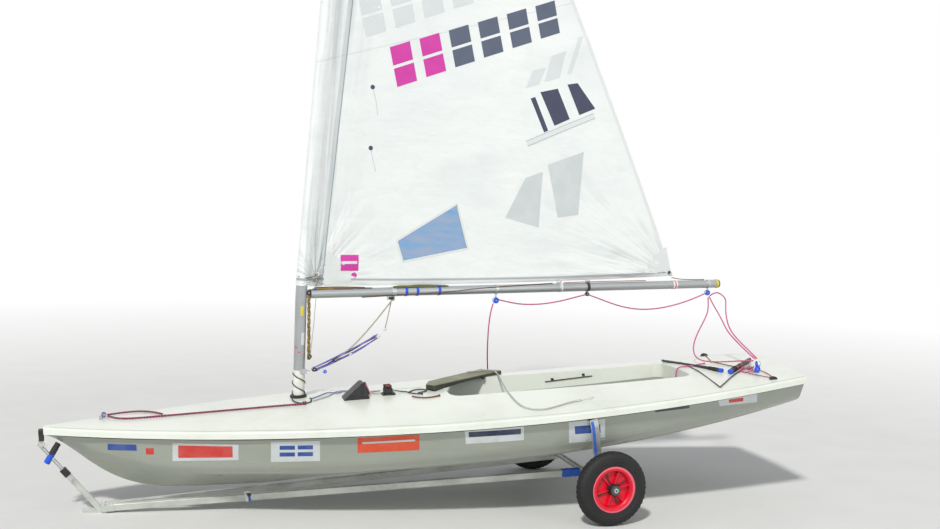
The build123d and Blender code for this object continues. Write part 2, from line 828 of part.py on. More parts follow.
with BuildPart() as post_sleeve:
    with BuildSketch(on_post(post_length + 0.2)):
        RectangleRounded(post_size + 6, post_size + 6, 8)
        Circle(thin_tube_diameter / 2 + 0.1, mode=Mode.SUBTRACT)
    extrude(amount=sleeve_length)
save(post_sleeve, "post_sleeve")

# Bow pad: rubber block against the bow, on a bracket at the top of the tube
pad_thickness = 26.0
pad_width = 62.0
pad_height = 56.0
pad_gap = 0.3
with BuildPart() as bow_pad:
    with BuildSketch(level(-22)):
        with Locations((-pad_gap - pad_thickness / 2, 0)):
            RectangleRounded(pad_thickness, pad_width, 6)
    extrude(amount=pad_height)
save(bow_pad, "bow_pad")

with BuildPart() as bow_pad_bracket:
    with BuildSketch(level(-22)):
        with Locations((-pad_gap - pad_thickness / 2 - 2, 0)):
            RectangleRounded(pad_thickness + 4, 46, 6)
    extrude(amount=-30)
    add(post_tube.part, mode=Mode.SUBTRACT)
save(bow_pad_bracket, "bow_pad_bracket")

# Stem rest: blue-capped arm across the tube, with a rubber knob under the stem
arm_diameter = 34.0
knob_radius = 16.0
arm_low = at(2, 0, -150)
arm_high = at(58, 0, -66)
arm_way = (arm_high - arm_low).normalized()
with BuildPart() as rest_arm:
    with BuildSketch(Plane(origin=arm_low, z_dir=arm_way)):
        Circle(arm_diameter / 2)
    extrude(amount=(arm_high - arm_low).length)
    fillet(rest_arm.edges(), 5)
    add(post_tube.part, mode=Mode.SUBTRACT)
save(rest_arm, "rest_arm")

with BuildPart() as stem_rest:
    with BuildSketch(Plane(origin=arm_high, z_dir=arm_way)):
        Circle(knob_radius)
    extrude(amount=22)
    fillet(stem_rest.faces().sort_by(Axis(arm_high, arm_way))[-1].edges(), 4)
    add(hull.part, mode=Mode.SUBTRACT)
save(stem_rest, "stem_rest")

# Gunwale hangers: bent flat bars from the axle up to rubber pads under the gunwale
hanger_x = 2850.0
hanger_pad_thickness = 6.0
hanger_top = at(hanger_x, 0, sheer(hanger_x) - gunwale_depth)
hanger_base = on_floor(axle_place, 0, axle_height)
hanger_rise = Vector(hanger_top.X - hanger_base.X, 0, hanger_top.Z - hanger_base.Z)
rise_way = hanger_rise.normalized()
gunwale_y = deck_half(hanger_x)
hanger_y = 604.0
for side, word in ((-1, "port"), (1, "starboard")):
    side_plane = Plane(origin=hanger_base, x_dir=(0, side, 0), z_dir=Vector(0, side, 0).cross(rise_way))
    pad_low = hanger_rise.length - hanger_pad_thickness - 1.5
    with BuildPart() as hanger:
        with BuildSketch(side_plane):
            with BuildLine() as hanger_line:
                FilletPolyline(
                    (hanger_y, 0),
                    (hanger_y, 185),
                    (gunwale_y - 14, 350),
                    (gunwale_y - 14, pad_low),
                    radius=40,
                )
            trace(hanger_line.line, hanger_thickness)
        extrude(amount=hanger_width / 2, both=True)
        add(axle_space.part, mode=Mode.SUBTRACT)
    save(hanger, "hanger_" + word)
    with BuildPart() as hanger_pad:
        with BuildSketch(side_plane):
            with Locations((gunwale_y - 14, pad_low + hanger_pad_thickness)):
                Rectangle(24, 2 * hanger_pad_thickness)
        extrude(amount=hanger_width / 2 + 8, both=True)
        add(deck_blank.part, mode=Mode.SUBTRACT)
        add(hull.part, mode=Mode.SUBTRACT)
    save(hanger_pad, "hanger_pad_" + word)

# Wheels: profile in local x outboard along the wheel's axle, local y up from it
tyre_radius = wheel_diameter / 2
rim_radius = rim_diameter / 2
half_width = wheel_width / 2
bead_place = half_width * 0.84
bead_depth = 22.0
tread_half = 16.0
hub_radius = 27.0
disc_half = 4.0
rib_count = 6
rib_thickness = 7.0
rib_height = 24.0
Profile = namedtuple("Profile", "out radius")
tyre_profile = [
    Profile(bead_place, rim_radius - bead_depth),
    Profile(bead_place, rim_radius),
    Profile(half_width, 162.0),
    Profile(half_width * 0.94, 178.0),
    Profile(half_width * 0.76, 193.0),
    Profile(tread_half, tyre_radius),
]
rim_profile = [
    Profile(-bead_place, rim_radius - bead_depth - 0.2),
    Profile(bead_place, rim_radius - bead_depth - 0.2),
    Profile(bead_place + 0.2, rim_radius - 2),
    Profile(bead_place + 8, rim_radius - 2),
    Profile(bead_place + 8, rim_radius - 12),
    Profile(half_width * 0.55, rim_radius - 30),
    Profile(disc_half, rim_radius - 34),
    Profile(disc_half, hub_radius + 0.1),
    Profile(-disc_half, hub_radius + 0.1),
    Profile(-disc_half, rim_radius - 34),
    Profile(-bead_place, rim_radius - 30),
]
for side, word in ((-1, "port"), (1, "starboard")):
    wheel_middle = on_floor(axle_place, side * track_half, axle_height)
    out = outboard(side)
    fore_and_aft = out.cross(Vector(0, 0, 1))
    profile_plane = Plane(origin=wheel_middle, x_dir=out, z_dir=fore_and_aft)
    face_plane = Plane(origin=wheel_middle, x_dir=fore_and_aft, z_dir=out)
    wheel_axis = Axis(wheel_middle, out)
    with BuildPart() as tyre:
        with BuildSketch(profile_plane):
            with BuildLine():
                outer = [(row.out, row.radius) for row in tyre_profile]
                inner = [(-row.out, row.radius) for row in reversed(tyre_profile)]
                Polyline(*outer, *inner, close=True)
            make_face()
        revolve(axis=wheel_axis)
    save(tyre, "tyre_" + word)
    with BuildPart() as rim:
        with BuildSketch(profile_plane):
            with BuildLine():
                Polyline(*[(row.out, row.radius) for row in rim_profile], close=True)
            make_face()
        revolve(axis=wheel_axis)
        with BuildSketch(face_plane):
            with PolarLocations((rim_radius - 34 + hub_radius) / 2, rib_count, start_angle=12):
                Rectangle(rim_radius - 30 - hub_radius, rib_thickness)
        extrude(amount=rib_height)
        with BuildSketch(face_plane):
            Circle(hub_radius + 0.1)
        extrude(amount=hub_length, both=True, mode=Mode.SUBTRACT)
    save(rim, "rim_" + word)
    with BuildPart() as hub:
        with BuildSketch(face_plane):
            Circle(hub_radius)
            Circle(stub_diameter / 2 + axle_bore_clearance / 2, mode=Mode.SUBTRACT)
        extrude(amount=hub_length / 2, both=True)
    save(hub, "hub_" + word)


# Free ropes: straight runs joined by arcs as large as the runs allow
sheet_diameter = 8.0
painter_diameter = 10.0
painter_lift = painter_diameter / 2 + 3.0
bow_eye_leg = bow_eye_height - bow_eye_bar / 2
boom_plane = Plane(origin=gooseneck_point, x_dir=boom_way, z_dir=-boom_side)


def hanging(along, drop):
    return boom_plane.from_local_coords(Vector(along, -drop, 0))


def lying(x, y, lift=painter_lift):
    return at(x, y, deck_height(x, y) + lift)


def bends(points):
    """Radius at each corner of a rope's route."""
    radii = []
    for before, here, after in zip(points, points[1:], points[2:]):
        shorter = min((here - before).length, (after - here).length)
        turn = radians((here - before).get_angle(after - here))
        radii.append(0.45 * shorter / tan(turn / 2))
    return radii


# Routes: along and below the boom, or x, y and height over the deck
Rope = namedtuple("Rope", "name diameter place points")
ropes = [
    Rope("sheet_swag_aft", sheet_diameter, hanging,
         [(2664, 57), (2580, 88), (2480, 117), (2372, 139), (2262, 150),
          (2155, 147), (2050, 128), (1960, 100), (1880, 71), (1808, 46)]),
    Rope("sheet_swag_forward", sheet_diameter, hanging,
         [(1800, 46), (1730, 60), (1640, 79), (1545, 93), (1450, 98), (1360, 94), (1280, 80), (1199, 60)]),
    Rope("painter", painter_diameter, lying,
         [(bow_eye_x + bow_eye_leg, 0, 14), (352, -24, 11), (385, -58), (440, -88), (520, -104),
          (1290, -186), (1335, -197), (1378, -186)]),
    Rope("painter_tail", painter_diameter, lying,
         [(bow_eye_x - bow_eye_leg, 0, 14), (300, 34, 11), (318, 84), (362, 128), (420, 138),
          (480, 108), (535, 50), (588, -22), (632, -98)]),
]
for row in ropes:
    route = [row.place(*point) for point in row.points]
    radii = bends(route)
    print(row.name, "radii", [round(radius) for radius in radii])
    with BuildPart() as rope:
        with BuildLine() as rope_line:
            FilletPolyline(*route, radius=radii)
        with BuildSketch(Plane(origin=rope_line.line @ 0, z_dir=rope_line.line % 0)):
            Circle(row.diameter / 2)
        sweep(path=rope_line.line)
        route_length = sum(edge.length for edge in rope_line.edges())
        section = pi * (row.diameter / 2) ** 2
        print("volume", round(rope.part.volume), "section times length", round(section * route_length))
        for block_part in block_parts:
            add(block_part, mode=Mode.SUBTRACT)
        add(bow_eye.part, mode=Mode.SUBTRACT)
    save(rope, row.name)
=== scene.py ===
import math

import bmesh
import bpy
from mathutils import Matrix, Vector
from mathutils.bvhtree import BVHTree


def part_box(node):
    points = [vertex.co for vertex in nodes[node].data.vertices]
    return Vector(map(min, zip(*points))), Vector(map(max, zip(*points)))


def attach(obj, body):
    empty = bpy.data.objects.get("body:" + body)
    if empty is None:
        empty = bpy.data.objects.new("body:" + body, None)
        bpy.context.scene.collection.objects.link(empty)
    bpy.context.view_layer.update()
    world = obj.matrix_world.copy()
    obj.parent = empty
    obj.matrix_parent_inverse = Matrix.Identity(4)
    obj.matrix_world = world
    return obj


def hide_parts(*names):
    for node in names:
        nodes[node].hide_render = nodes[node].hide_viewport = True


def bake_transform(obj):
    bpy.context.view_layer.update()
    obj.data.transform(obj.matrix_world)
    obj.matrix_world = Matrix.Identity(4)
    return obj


# Looks of the sailing dinghy on its launching trolley. Metres; +X aft, +Y starboard, +Z up.
# boat() turns places in the boat's own millimetres (aft of the bow, to starboard, above the
# transom's deck edge) into the part frame, as the solids' source does.

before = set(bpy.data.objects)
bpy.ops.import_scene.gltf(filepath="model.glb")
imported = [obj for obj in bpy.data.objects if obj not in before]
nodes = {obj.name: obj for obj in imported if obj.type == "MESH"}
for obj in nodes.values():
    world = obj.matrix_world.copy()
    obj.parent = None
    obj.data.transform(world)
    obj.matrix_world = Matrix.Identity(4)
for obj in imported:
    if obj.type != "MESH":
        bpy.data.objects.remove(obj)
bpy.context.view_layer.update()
scene = bpy.context.scene

AFT, STARBOARD, UP = Vector((1, 0, 0)), Vector((0, 1, 0)), Vector((0, 0, 1))
SIDES = ((-1, "port"), (1, "starboard"))
PITCH = math.radians(4.65)
BOW_TO_ORIGIN = 2114.56
DECK_EDGE_HEIGHT = 420.4
LENGTH = 4230.0
BOW_RISE = 50.0
SHEER_SAG = 136.0
MAST_X = 1365.0
MAST_RAKE = math.radians(5)
# Deck: percent of the length, half width and camber
deck_stations = [
    (0.0, 32, 4), (1.418, 66, 8), (3.546, 113, 14), (7.092, 187, 25), (11.82, 274, 38),
    (20.095, 406, 60), (31.915, 544, 83), (47.281, 662, 86), (63.83, 703, 70),
    (80.378, 647, 52), (92.199, 562, 45), (100.0, 485, 40),
]


def even(start, end, steps):
    """Values from start to end in equal steps."""
    return [start + (end - start) * k / steps for k in range(steps + 1)]


def turned(x, y, z):
    """Part-frame direction of a direction in the boat's frame."""
    return Vector((x * math.cos(PITCH) - z * math.sin(PITCH), y, x * math.sin(PITCH) + z * math.cos(PITCH)))


def boat(x, y, z):
    """Part-frame place, in metres, of a place in the boat's frame, in millimetres."""
    return (turned(x, y, z) + Vector((-BOW_TO_ORIGIN, 0, DECK_EDGE_HEIGHT))) / 1000


def deck_row(x):
    """Half width and camber of the deck at a distance aft of the bow."""
    percent = 100 * x / LENGTH
    rows = [pair for pair in zip(deck_stations, deck_stations[1:]) if pair[0][0] <= percent]
    (start, half_a, crown_a), (end, half_b, crown_b) = rows[-1]
    share = min(1.0, (percent - start) / (end - start))
    return half_a + share * (half_b - half_a), crown_a + share * (crown_b - crown_a)


def sheer(x):
    """Height of the deck's edge at a distance aft of the bow."""
    fore = 1 - x / LENGTH
    return BOW_RISE * fore ** 2 - SHEER_SAG * fore * (1 - fore)


def deck_height(x, y):
    half, crown = deck_row(x)
    return sheer(x) + crown * (1 - (y / half) ** 2)


def on_deck(x, y, lift=0.0):
    return boat(x, y, deck_height(x, y) + lift)


def solid(*names):
    """The surface of some of the part's nodes, for laying things on it."""
    verts = []
    faces = []
    for name in names:
        mesh = nodes[name].data
        start = len(verts)
        verts += [vertex.co.copy() for vertex in mesh.vertices]
        faces += [[start + i for i in face.vertices] for face in mesh.polygons]
    return BVHTree.FromPolygons(verts, faces)


hull_surface = solid("hull")
top_surface = solid("deck", "daggerboard")
boat_surface = solid("hull", "deck")


def on_hull(x, z, side, lift):
    """Place on the hull's side at a boat place x, z, lifted by millimetres."""
    way = Vector((0, -side, 0))
    spot, normal = hull_surface.ray_cast(boat(x, side * 1200, z), way)[:2]
    if normal.dot(way) > 0:
        normal = -normal
    return spot + normal * lift / 1000


def over(x, y, lift):
    """Place above whatever lies highest at a boat place x, y: the deck, or the board on it."""
    return top_surface.ray_cast(boat(x, y, 600), turned(0, 0, -1))[0] + turned(0, 0, lift) / 1000


# Rig: the bend at the gooseneck, the directions of boom and mast, and the sail's plane
GOOSENECK = boat(1415.218, 0, 650.282)
SWING, DROOP, LEAN = math.radians(9.1), math.radians(3.9), math.radians(8.5)
boom_way = turned(math.cos(DROOP) * math.cos(SWING), math.cos(DROOP) * math.sin(SWING), -math.sin(DROOP))
boom_side = UP.cross(boom_way).normalized()
boom_up = boom_way.cross(boom_side)
mast_way = turned(math.sin(LEAN), 0, math.cos(LEAN))
low_mast_way = turned(math.sin(MAST_RAKE), 0, math.cos(MAST_RAKE))
sail_way = (boom_way - mast_way * boom_way.dot(mast_way)).normalized()
sail_port = sail_way.cross(mast_way)


def by_boom(along, drop=0.0, side=0.0):
    """Place by the boom in millimetres: along it, below its axis and to starboard."""
    return GOOSENECK + (boom_way * along - boom_up * drop + boom_side * side) / 1000


# Camera at the photograph's place and angle
CAMERA_PLACE = Vector((-1.891644, -7.68484, 1.951404))
CAMERA_RIGHT = Vector((0.964851, -0.261097, 0.029886))
CAMERA_UP = Vector((-0.009295, 0.079747, 0.996773))
CAMERA_FORWARD = Vector((0.262638, 0.962013, -0.074518))
camera_data = bpy.data.cameras.new("camera")
camera_data.sensor_fit = "HORIZONTAL"
camera_data.sensor_width = 36.0
camera_data.lens = 53.617
camera_data.clip_end = 200.0
camera = bpy.data.objects.new("camera", camera_data)
scene.collection.objects.link(camera)
turn = Matrix((CAMERA_RIGHT, CAMERA_UP, -CAMERA_FORWARD)).transposed().to_4x4()
camera.matrix_world = Matrix.Translation(CAMERA_PLACE) @ turn
scene.camera = camera


# Procedural materials
def linear(text):
    """Linear colour of a hex colour."""
    parts = [int(text[i:i + 2], 16) / 255 for i in (1, 3, 5)]
    return tuple(c / 12.92 if c <= 0.04045 else ((c + 0.055) / 1.055) ** 2.4 for c in parts) + (1.0,)


class Value:
    """The output of a node; sums and products of it are maths nodes."""

    def __init__(self, nodes_of, socket):
        self.nodes_of = nodes_of
        self.socket = socket

    def __add__(self, other):
        return self.nodes_of.maths("ADD", self, other)

    def __sub__(self, other):
        return self.nodes_of.maths("SUBTRACT", self, other)

    def __mul__(self, other):
        return self.nodes_of.maths("MULTIPLY", self, other)

    def __abs__(self):
        return self.nodes_of.maths("ABSOLUTE", self)


class Nodes:
    """A tree of shader nodes."""

    def __init__(self, tree):
        self.tree = tree

    def feed(self, socket, value):
        """A value for a node's input: linked where a node gives it, and otherwise set on the input."""
        if isinstance(value, Value):
            self.tree.links.new(value.socket, socket)
        else:
            socket.default_value = value

    def outputs(self, kind, inputs, names, **settings):
        """A new node's outputs of these names."""
        made = self.tree.nodes.new(kind)
        for name, value in settings.items():
            setattr(made, name, value)
        for name, value in inputs.items():
            self.feed(made.inputs[name], value)
        return [Value(self, made.outputs[name]) for name in names]

    def node(self, kind, inputs, name, **settings):
        return self.outputs(kind, inputs, [name], **settings)[0]

    def maths(self, operation, *values):
        return self.node("ShaderNodeMath", dict(enumerate(values)), 0, operation=operation)

    def blend_shaders(self, share, first, second):
        return self.node("ShaderNodeMixShader", {0: share, 1: first, 2: second}, 0)


class Finish(Nodes):
    """A procedural material: the shader's own values, and textures linked to it."""

    def __init__(self, name, colour, roughness, **values):
        self.material = bpy.data.materials.new(name)
        self.material.use_nodes = True
        super().__init__(self.material.node_tree)
        self.shader = self.tree.nodes["Principled BSDF"]
        self.tone = linear(colour)
        self.shader.inputs["Base Color"].default_value = self.tone
        self.shader.inputs["Roughness"].default_value = roughness
        for name, value in values.items():
            self.shader.inputs[name.replace("_", " ")].default_value = value

    def place(self, source="Object", stretch=(1, 1, 1)):
        where = self.node("ShaderNodeTexCoord", {}, source)
        return self.node("ShaderNodeMapping", {"Vector": where, "Scale": stretch}, "Vector")

    def split(self, value):
        return self.outputs("ShaderNodeSeparateXYZ", {"Vector": value}, "XYZ")

    def noise(self, scale, detail=4.0, stretch=(1, 1, 1), source="Object"):
        return self.clouds(self.place(source, stretch), scale, detail)

    def clouds(self, where, scale, detail):
        return self.node("ShaderNodeTexNoise", {"Vector": where, "Scale": scale, "Detail": detail}, "Fac")

    def streaks(self, across, along, detail):
        """Noise over two values of the surface's own."""
        where = self.node("ShaderNodeCombineXYZ", {"X": across, "Y": along}, "Vector")
        return self.clouds(where, 1.0, detail)

    def ramp(self, value, low, high, start=0.0, end=1.0):
        """value carried from the range low to high to the range start to end, and kept there."""
        return self.node("ShaderNodeMapRange", {"Value": value, "From Min": low, "From Max": high,
                                                "To Min": start, "To Max": end}, "Result")

    def paint(self, share, colour, below=None):
        """Lay a colour with a share over another, or over the tone so far; the mix is the new tone."""
        below = below or self.tone
        self.tone = self.node("ShaderNodeMix", {0: share, 6: below, 7: linear(colour)}, 2, data_type="RGBA")
        self.feed(self.shader.inputs["Base Color"], self.tone)

    def bump(self, height, distance, strength=1.0):
        normal = self.shader.inputs["Normal"]
        inputs = {"Height": height, "Distance": distance, "Strength": strength}
        if normal.links:
            inputs["Normal"] = Value(self, normal.links[0].from_socket)
        self.feed(normal, self.node("ShaderNodeBump", inputs, "Normal"))


def worn(name, colour, roughness, dirt, amount, scale, grain, depth, stretch=(1, 1, 1), spread=0.12,
         **values):
    """Finish with dirt in patches, a grain in millimetres, and roughness that varies with the patches."""
    made = Finish(name, colour, roughness, **values)
    patches = made.noise(scale, 6.0, stretch)
    fine = made.noise(scale * 9, 5.0, stretch)
    both = made.ramp(patches, 0.42, 0.72) * made.ramp(fine, 0.3, 0.75, 0.35, 1.0)
    made.paint(both * amount, dirt)
    rough = made.ramp(patches, 0.3, 0.7, roughness - spread / 2, roughness + spread / 2)
    made.feed(made.shader.inputs["Roughness"], rough)
    made.bump(made.noise(grain, 2.0), depth / 1000)
    return made


BRAID_STRANDS, BRAID_PITCH, FLECK_PITCH = 8.0, 1.1, 1.3


def braid(name, first, second, fleck=0.3, fleck_turns=2.0):
    """Braided rope on a mesh whose UVs are once round and diameters along; flecks of a second colour."""
    made = Finish(name + "_rope", first, 0.82)
    round_it, along = made.split(made.node("ShaderNodeTexCoord", {}, "UV"))[:2]
    strands = [round_it * (BRAID_STRANDS * math.pi) + along * (way * BRAID_PITCH * math.pi)
               for way in (1, -1)]
    height = abs(made.maths("SINE", strands[0])) * abs(made.maths("SINE", strands[1]))
    swirl = round_it * (fleck_turns * 2 * math.pi) + along * (FLECK_PITCH * math.pi)
    made.paint(made.ramp(made.maths("SINE", swirl), 1 - 2 * fleck, 1.15 - 2 * fleck), second)
    # Painted shade: the valleys between the strands are darkened
    made.paint(made.ramp(height, 0.0, 0.35, 0.42, 0.0), "#1b1a1c")
    made.paint(made.ramp(made.noise(30.0), 0.35, 0.7, 0.0, 0.18), "#8d857a")
    made.bump(height, 0.0012, 0.9)
    return made


gelcoat_deck = worn("gelcoat_deck", "#e5e9df", 0.34, "#b4b5a6", 0.4, 2.2, 900, 0.06,
                    Coat_Weight=0.25, Coat_Roughness=0.2)
gelcoat_hull = worn("gelcoat_hull", "#a3a89d", 0.3, "#7f8277", 0.5, 2.6, 700, 0.05, (0.35, 1, 1.6),
                    Coat_Weight=0.35, Coat_Roughness=0.15)
spar = worn("spar", "#b0b4b5", 0.36, "#85888b", 0.4, 7.0, 900, 0.03, (0.12, 1, 1), Metallic=0.8)
trolley_tube = worn("trolley_tube", "#cdd1cb", 0.5, "#7d7b70", 0.6, 9.0, 500, 0.12, (0.5, 1, 1), 0.2,
                    Metallic=0.7)
steel = worn("steel", "#c9cbcc", 0.28, "#8b8780", 0.45, 30.0, 1200, 0.04, Metallic=0.95)
black_fitting = worn("black_fitting", "#1c1d1f", 0.46, "#55534e", 0.4, 40.0, 900, 0.1)
blue_fitting = worn("blue_fitting", "#1e55dc", 0.42, "#16307a", 0.5, 30.0, 800, 0.08)
rubber = worn("rubber", "#222122", 0.78, "#5a5750", 0.5, 25.0, 600, 0.2)
tyre_rubber = worn("tyre", "#0f1012", 0.72, "#3a3932", 0.4, 14.0, 350, 0.4)
bar_black = worn("bar", "#17181b", 0.4, "#4b4b4d", 0.35, 30.0, 900, 0.08)
webbing = worn("webbing", "#26282c", 0.85, "#6a6759", 0.5, 30.0, 1500, 0.5)
blue_webbing = worn("blue_webbing", "#2a63d2", 0.85, "#8fa3c4", 0.4, 40.0, 1500, 0.5)
white_plastic = worn("white_plastic", "#e6e5e0", 0.42, "#a7a294", 0.4, 30.0, 900, 0.05)
# Dark strip under the gunwale: partly the sealed joint, partly painted shade
joint_and_shade_black = worn("joint_and_shade_black", "#33332f", 0.7, "#6b6a62", 0.5, 12.0, 900, 0.1)
# Grey strip along the deck's edge: painted shade of its groove
groove_shade_grey = worn("groove_shade_grey", "#aeb0a6", 0.55, "#8d8e84", 0.5, 12.0, 900, 0.1)
pink_ring = worn("pink_ring", "#d8567e", 0.4, "#a23a5e", 0.4, 40.0, 900, 0.05)
hub_grey = worn("hub", "#4a4c4f", 0.5, "#2c2d2f", 0.5, 40.0, 800, 0.08)
board_coat = worn("board", "#7c7d62", 0.5, "#4f4e34", 0.8, 6.0, 500, 0.1, (1, 1, 3))
rest_paint = worn("rest", "#1e55dc", 0.42, "#16307a", 0.4, 30.0, 800, 0.08)
rim_paint = worn("rim", "#dc0028", 0.38, "#a00a22", 0.4, 22.0, 700, 0.06,
                 Coat_Weight=0.12, Coat_Roughness=0.25)
decals = {name: worn("decal_" + name, colour, 0.42, wear, 0.45, 16.0, 1500, 0.04) for name, colour, wear in (
    ("red", "#d23c36", "#c98680"), ("orange", "#dd4f2c", "#cf8d74"), ("white", "#d3d9da", "#aab0ad"),
    ("blue", "#2c4f9c", "#8391b4"), ("navy", "#25304f", "#7c8290"), ("yellow", "#d9cb3c", "#a89a4c"),
    ("slate", "#41464b", "#84878a"))}
magenta_braid = braid("sheet", "#dc2482", "#f2a2cc", 0.36)
painter_braid = braid("painter", "#36194e", "#d4506e", 0.42, 1.0)
white_braid = braid("white", "#dcdcd6", "#b9b9b4")
blue_braid = braid("blue", "#2247b8", "#cfd7ee")
maroon_braid = braid("maroon", "#6a2836", "#96705a")
olive_braid = braid("olive", "#4b5a1e", "#a9a75c", 0.35)
dark_braid = braid("dark", "#1d1d20", "#c9a93a")
purple_braid = braid("purple", "#5546b8", "#b3aee0")
red_braid = braid("red", "#8f1d24", "#d8b9b0")
black_braid = braid("black", "#17181c", "#7d7f86")
cream_braid = braid("cream", "#cfc7ae", "#a89f86")
yellow_braid = braid("yellow", "#c9a02c", "#2c261c", 0.28)

# Rim: four dark marks that run out from the hub, and a pinkish painted highlight along its lip
WHEEL_MIDDLE = Vector((boat(2932, 0, 0).x + 0.037, 0.697, 0.203))
MARK_TURN = 1.68
rim_place = rim_paint.split(rim_paint.place())
rim_x, rim_z = rim_place[0] - WHEEL_MIDDLE.x, rim_place[2] - WHEEL_MIDDLE.z
rim_reach = rim_paint.maths("SQRT", rim_x * rim_x + rim_z * rim_z)
rim_wave = rim_paint.maths("COSINE", rim_paint.maths("ARCTAN2", rim_z, rim_x) * 4.0 - MARK_TURN)
rim_dark_marks = rim_paint.ramp(rim_wave, 0.80, 0.98) * rim_paint.ramp(rim_reach, 0.100, 0.084, 0.0, 0.85)
rim_paint.paint(rim_dark_marks, "#43142c")
# Painted highlight: a pinkish band along the rim's lip
rim_paint.paint(rim_paint.ramp(rim_reach, 0.1155, 0.1175, 0.0, 0.85), "#e0687c")

# Daggerboard: a weathered olive top face; its sides painted darker as shade
board_up = board_coat.split(board_coat.node("ShaderNodeNewGeometry", {}, "True Normal"))[2]
board_coat.paint(board_coat.ramp(board_up, 0.9, 0.5), "#33342b")

# The rest under the stem: blue, and dark above a height
REST_CHANGE = boat(30, 0, -104).z
rest_height = rest_paint.split(rest_paint.place())[2]
rest_paint.paint(rest_paint.ramp(rest_height, REST_CHANGE - 0.001, REST_CHANGE + 0.001), "#23262b")

finishes = {
    "gelcoat_hull": gelcoat_hull, "gelcoat_deck": gelcoat_deck, "spar": spar, "trolley_tube": trolley_tube,
    "tyre": tyre_rubber, "rim": rim_paint, "steel": steel, "black_fitting": black_fitting,
    "blue_fitting": blue_fitting, "rubber": rubber, "board": board_coat, "bar": bar_black,
    "webbing": webbing, "sailcloth": white_plastic, "rope": magenta_braid,
}
for node in nodes.values():
    for index, old in enumerate(list(node.data.materials)):
        node.data.materials[index] = finishes[old.name.split(".")[0]].material
for name, finish in (("rest_arm", rest_paint), ("hub_port", hub_grey), ("hub_starboard", hub_grey)):
    nodes[name].data.materials[0] = finish.material


# Shapes
def joined(line):
    """Lengths along a line of points, from its start."""
    total = [0.0]
    for a, b in zip(line, line[1:]):
        total.append(total[-1] + (b - a).length)
    return total


def frames(line, up=None):
    """Side and up directions along a line, kept from twisting, or held to up."""
    made = []
    side = None
    for i in range(len(line)):
        way = (line[min(i + 1, len(line) - 1)] - line[max(i - 1, 0)]).normalized()
        if up:
            side = way.cross(up).normalized()
        elif side:
            side = (side - way * side.dot(way)).normalized()
        else:
            side = way.orthogonal().normalized()
        made.append((side, side.cross(way)))
    return made


def circle(side, other, radius, count):
    """Places round a circle, from its middle."""
    turns = [2 * math.pi * j / count for j in range(count)]
    return [(side * math.cos(a) + other * math.sin(a)) * radius for a in turns]


def spline(points):
    """The line that a NURBS spline draws with these points as its control points."""
    curve = bpy.data.curves.new("route", "CURVE")
    curve.dimensions = "3D"
    curve.resolution_u = 12
    strand = curve.splines.new("NURBS")
    strand.points.add(len(points) - 1)
    for control, point in zip(strand.points, points):
        control.co = (*point, 1.0)
    strand.order_u = 3
    strand.use_endpoint_u = True
    holder = bpy.data.objects.new("route", curve)
    mesh = bpy.data.meshes.new_from_object(holder)
    line = [vertex.co.copy() for vertex in mesh.vertices]
    bpy.data.objects.remove(holder)
    bpy.data.curves.remove(curve)
    bpy.data.meshes.remove(mesh)
    return line


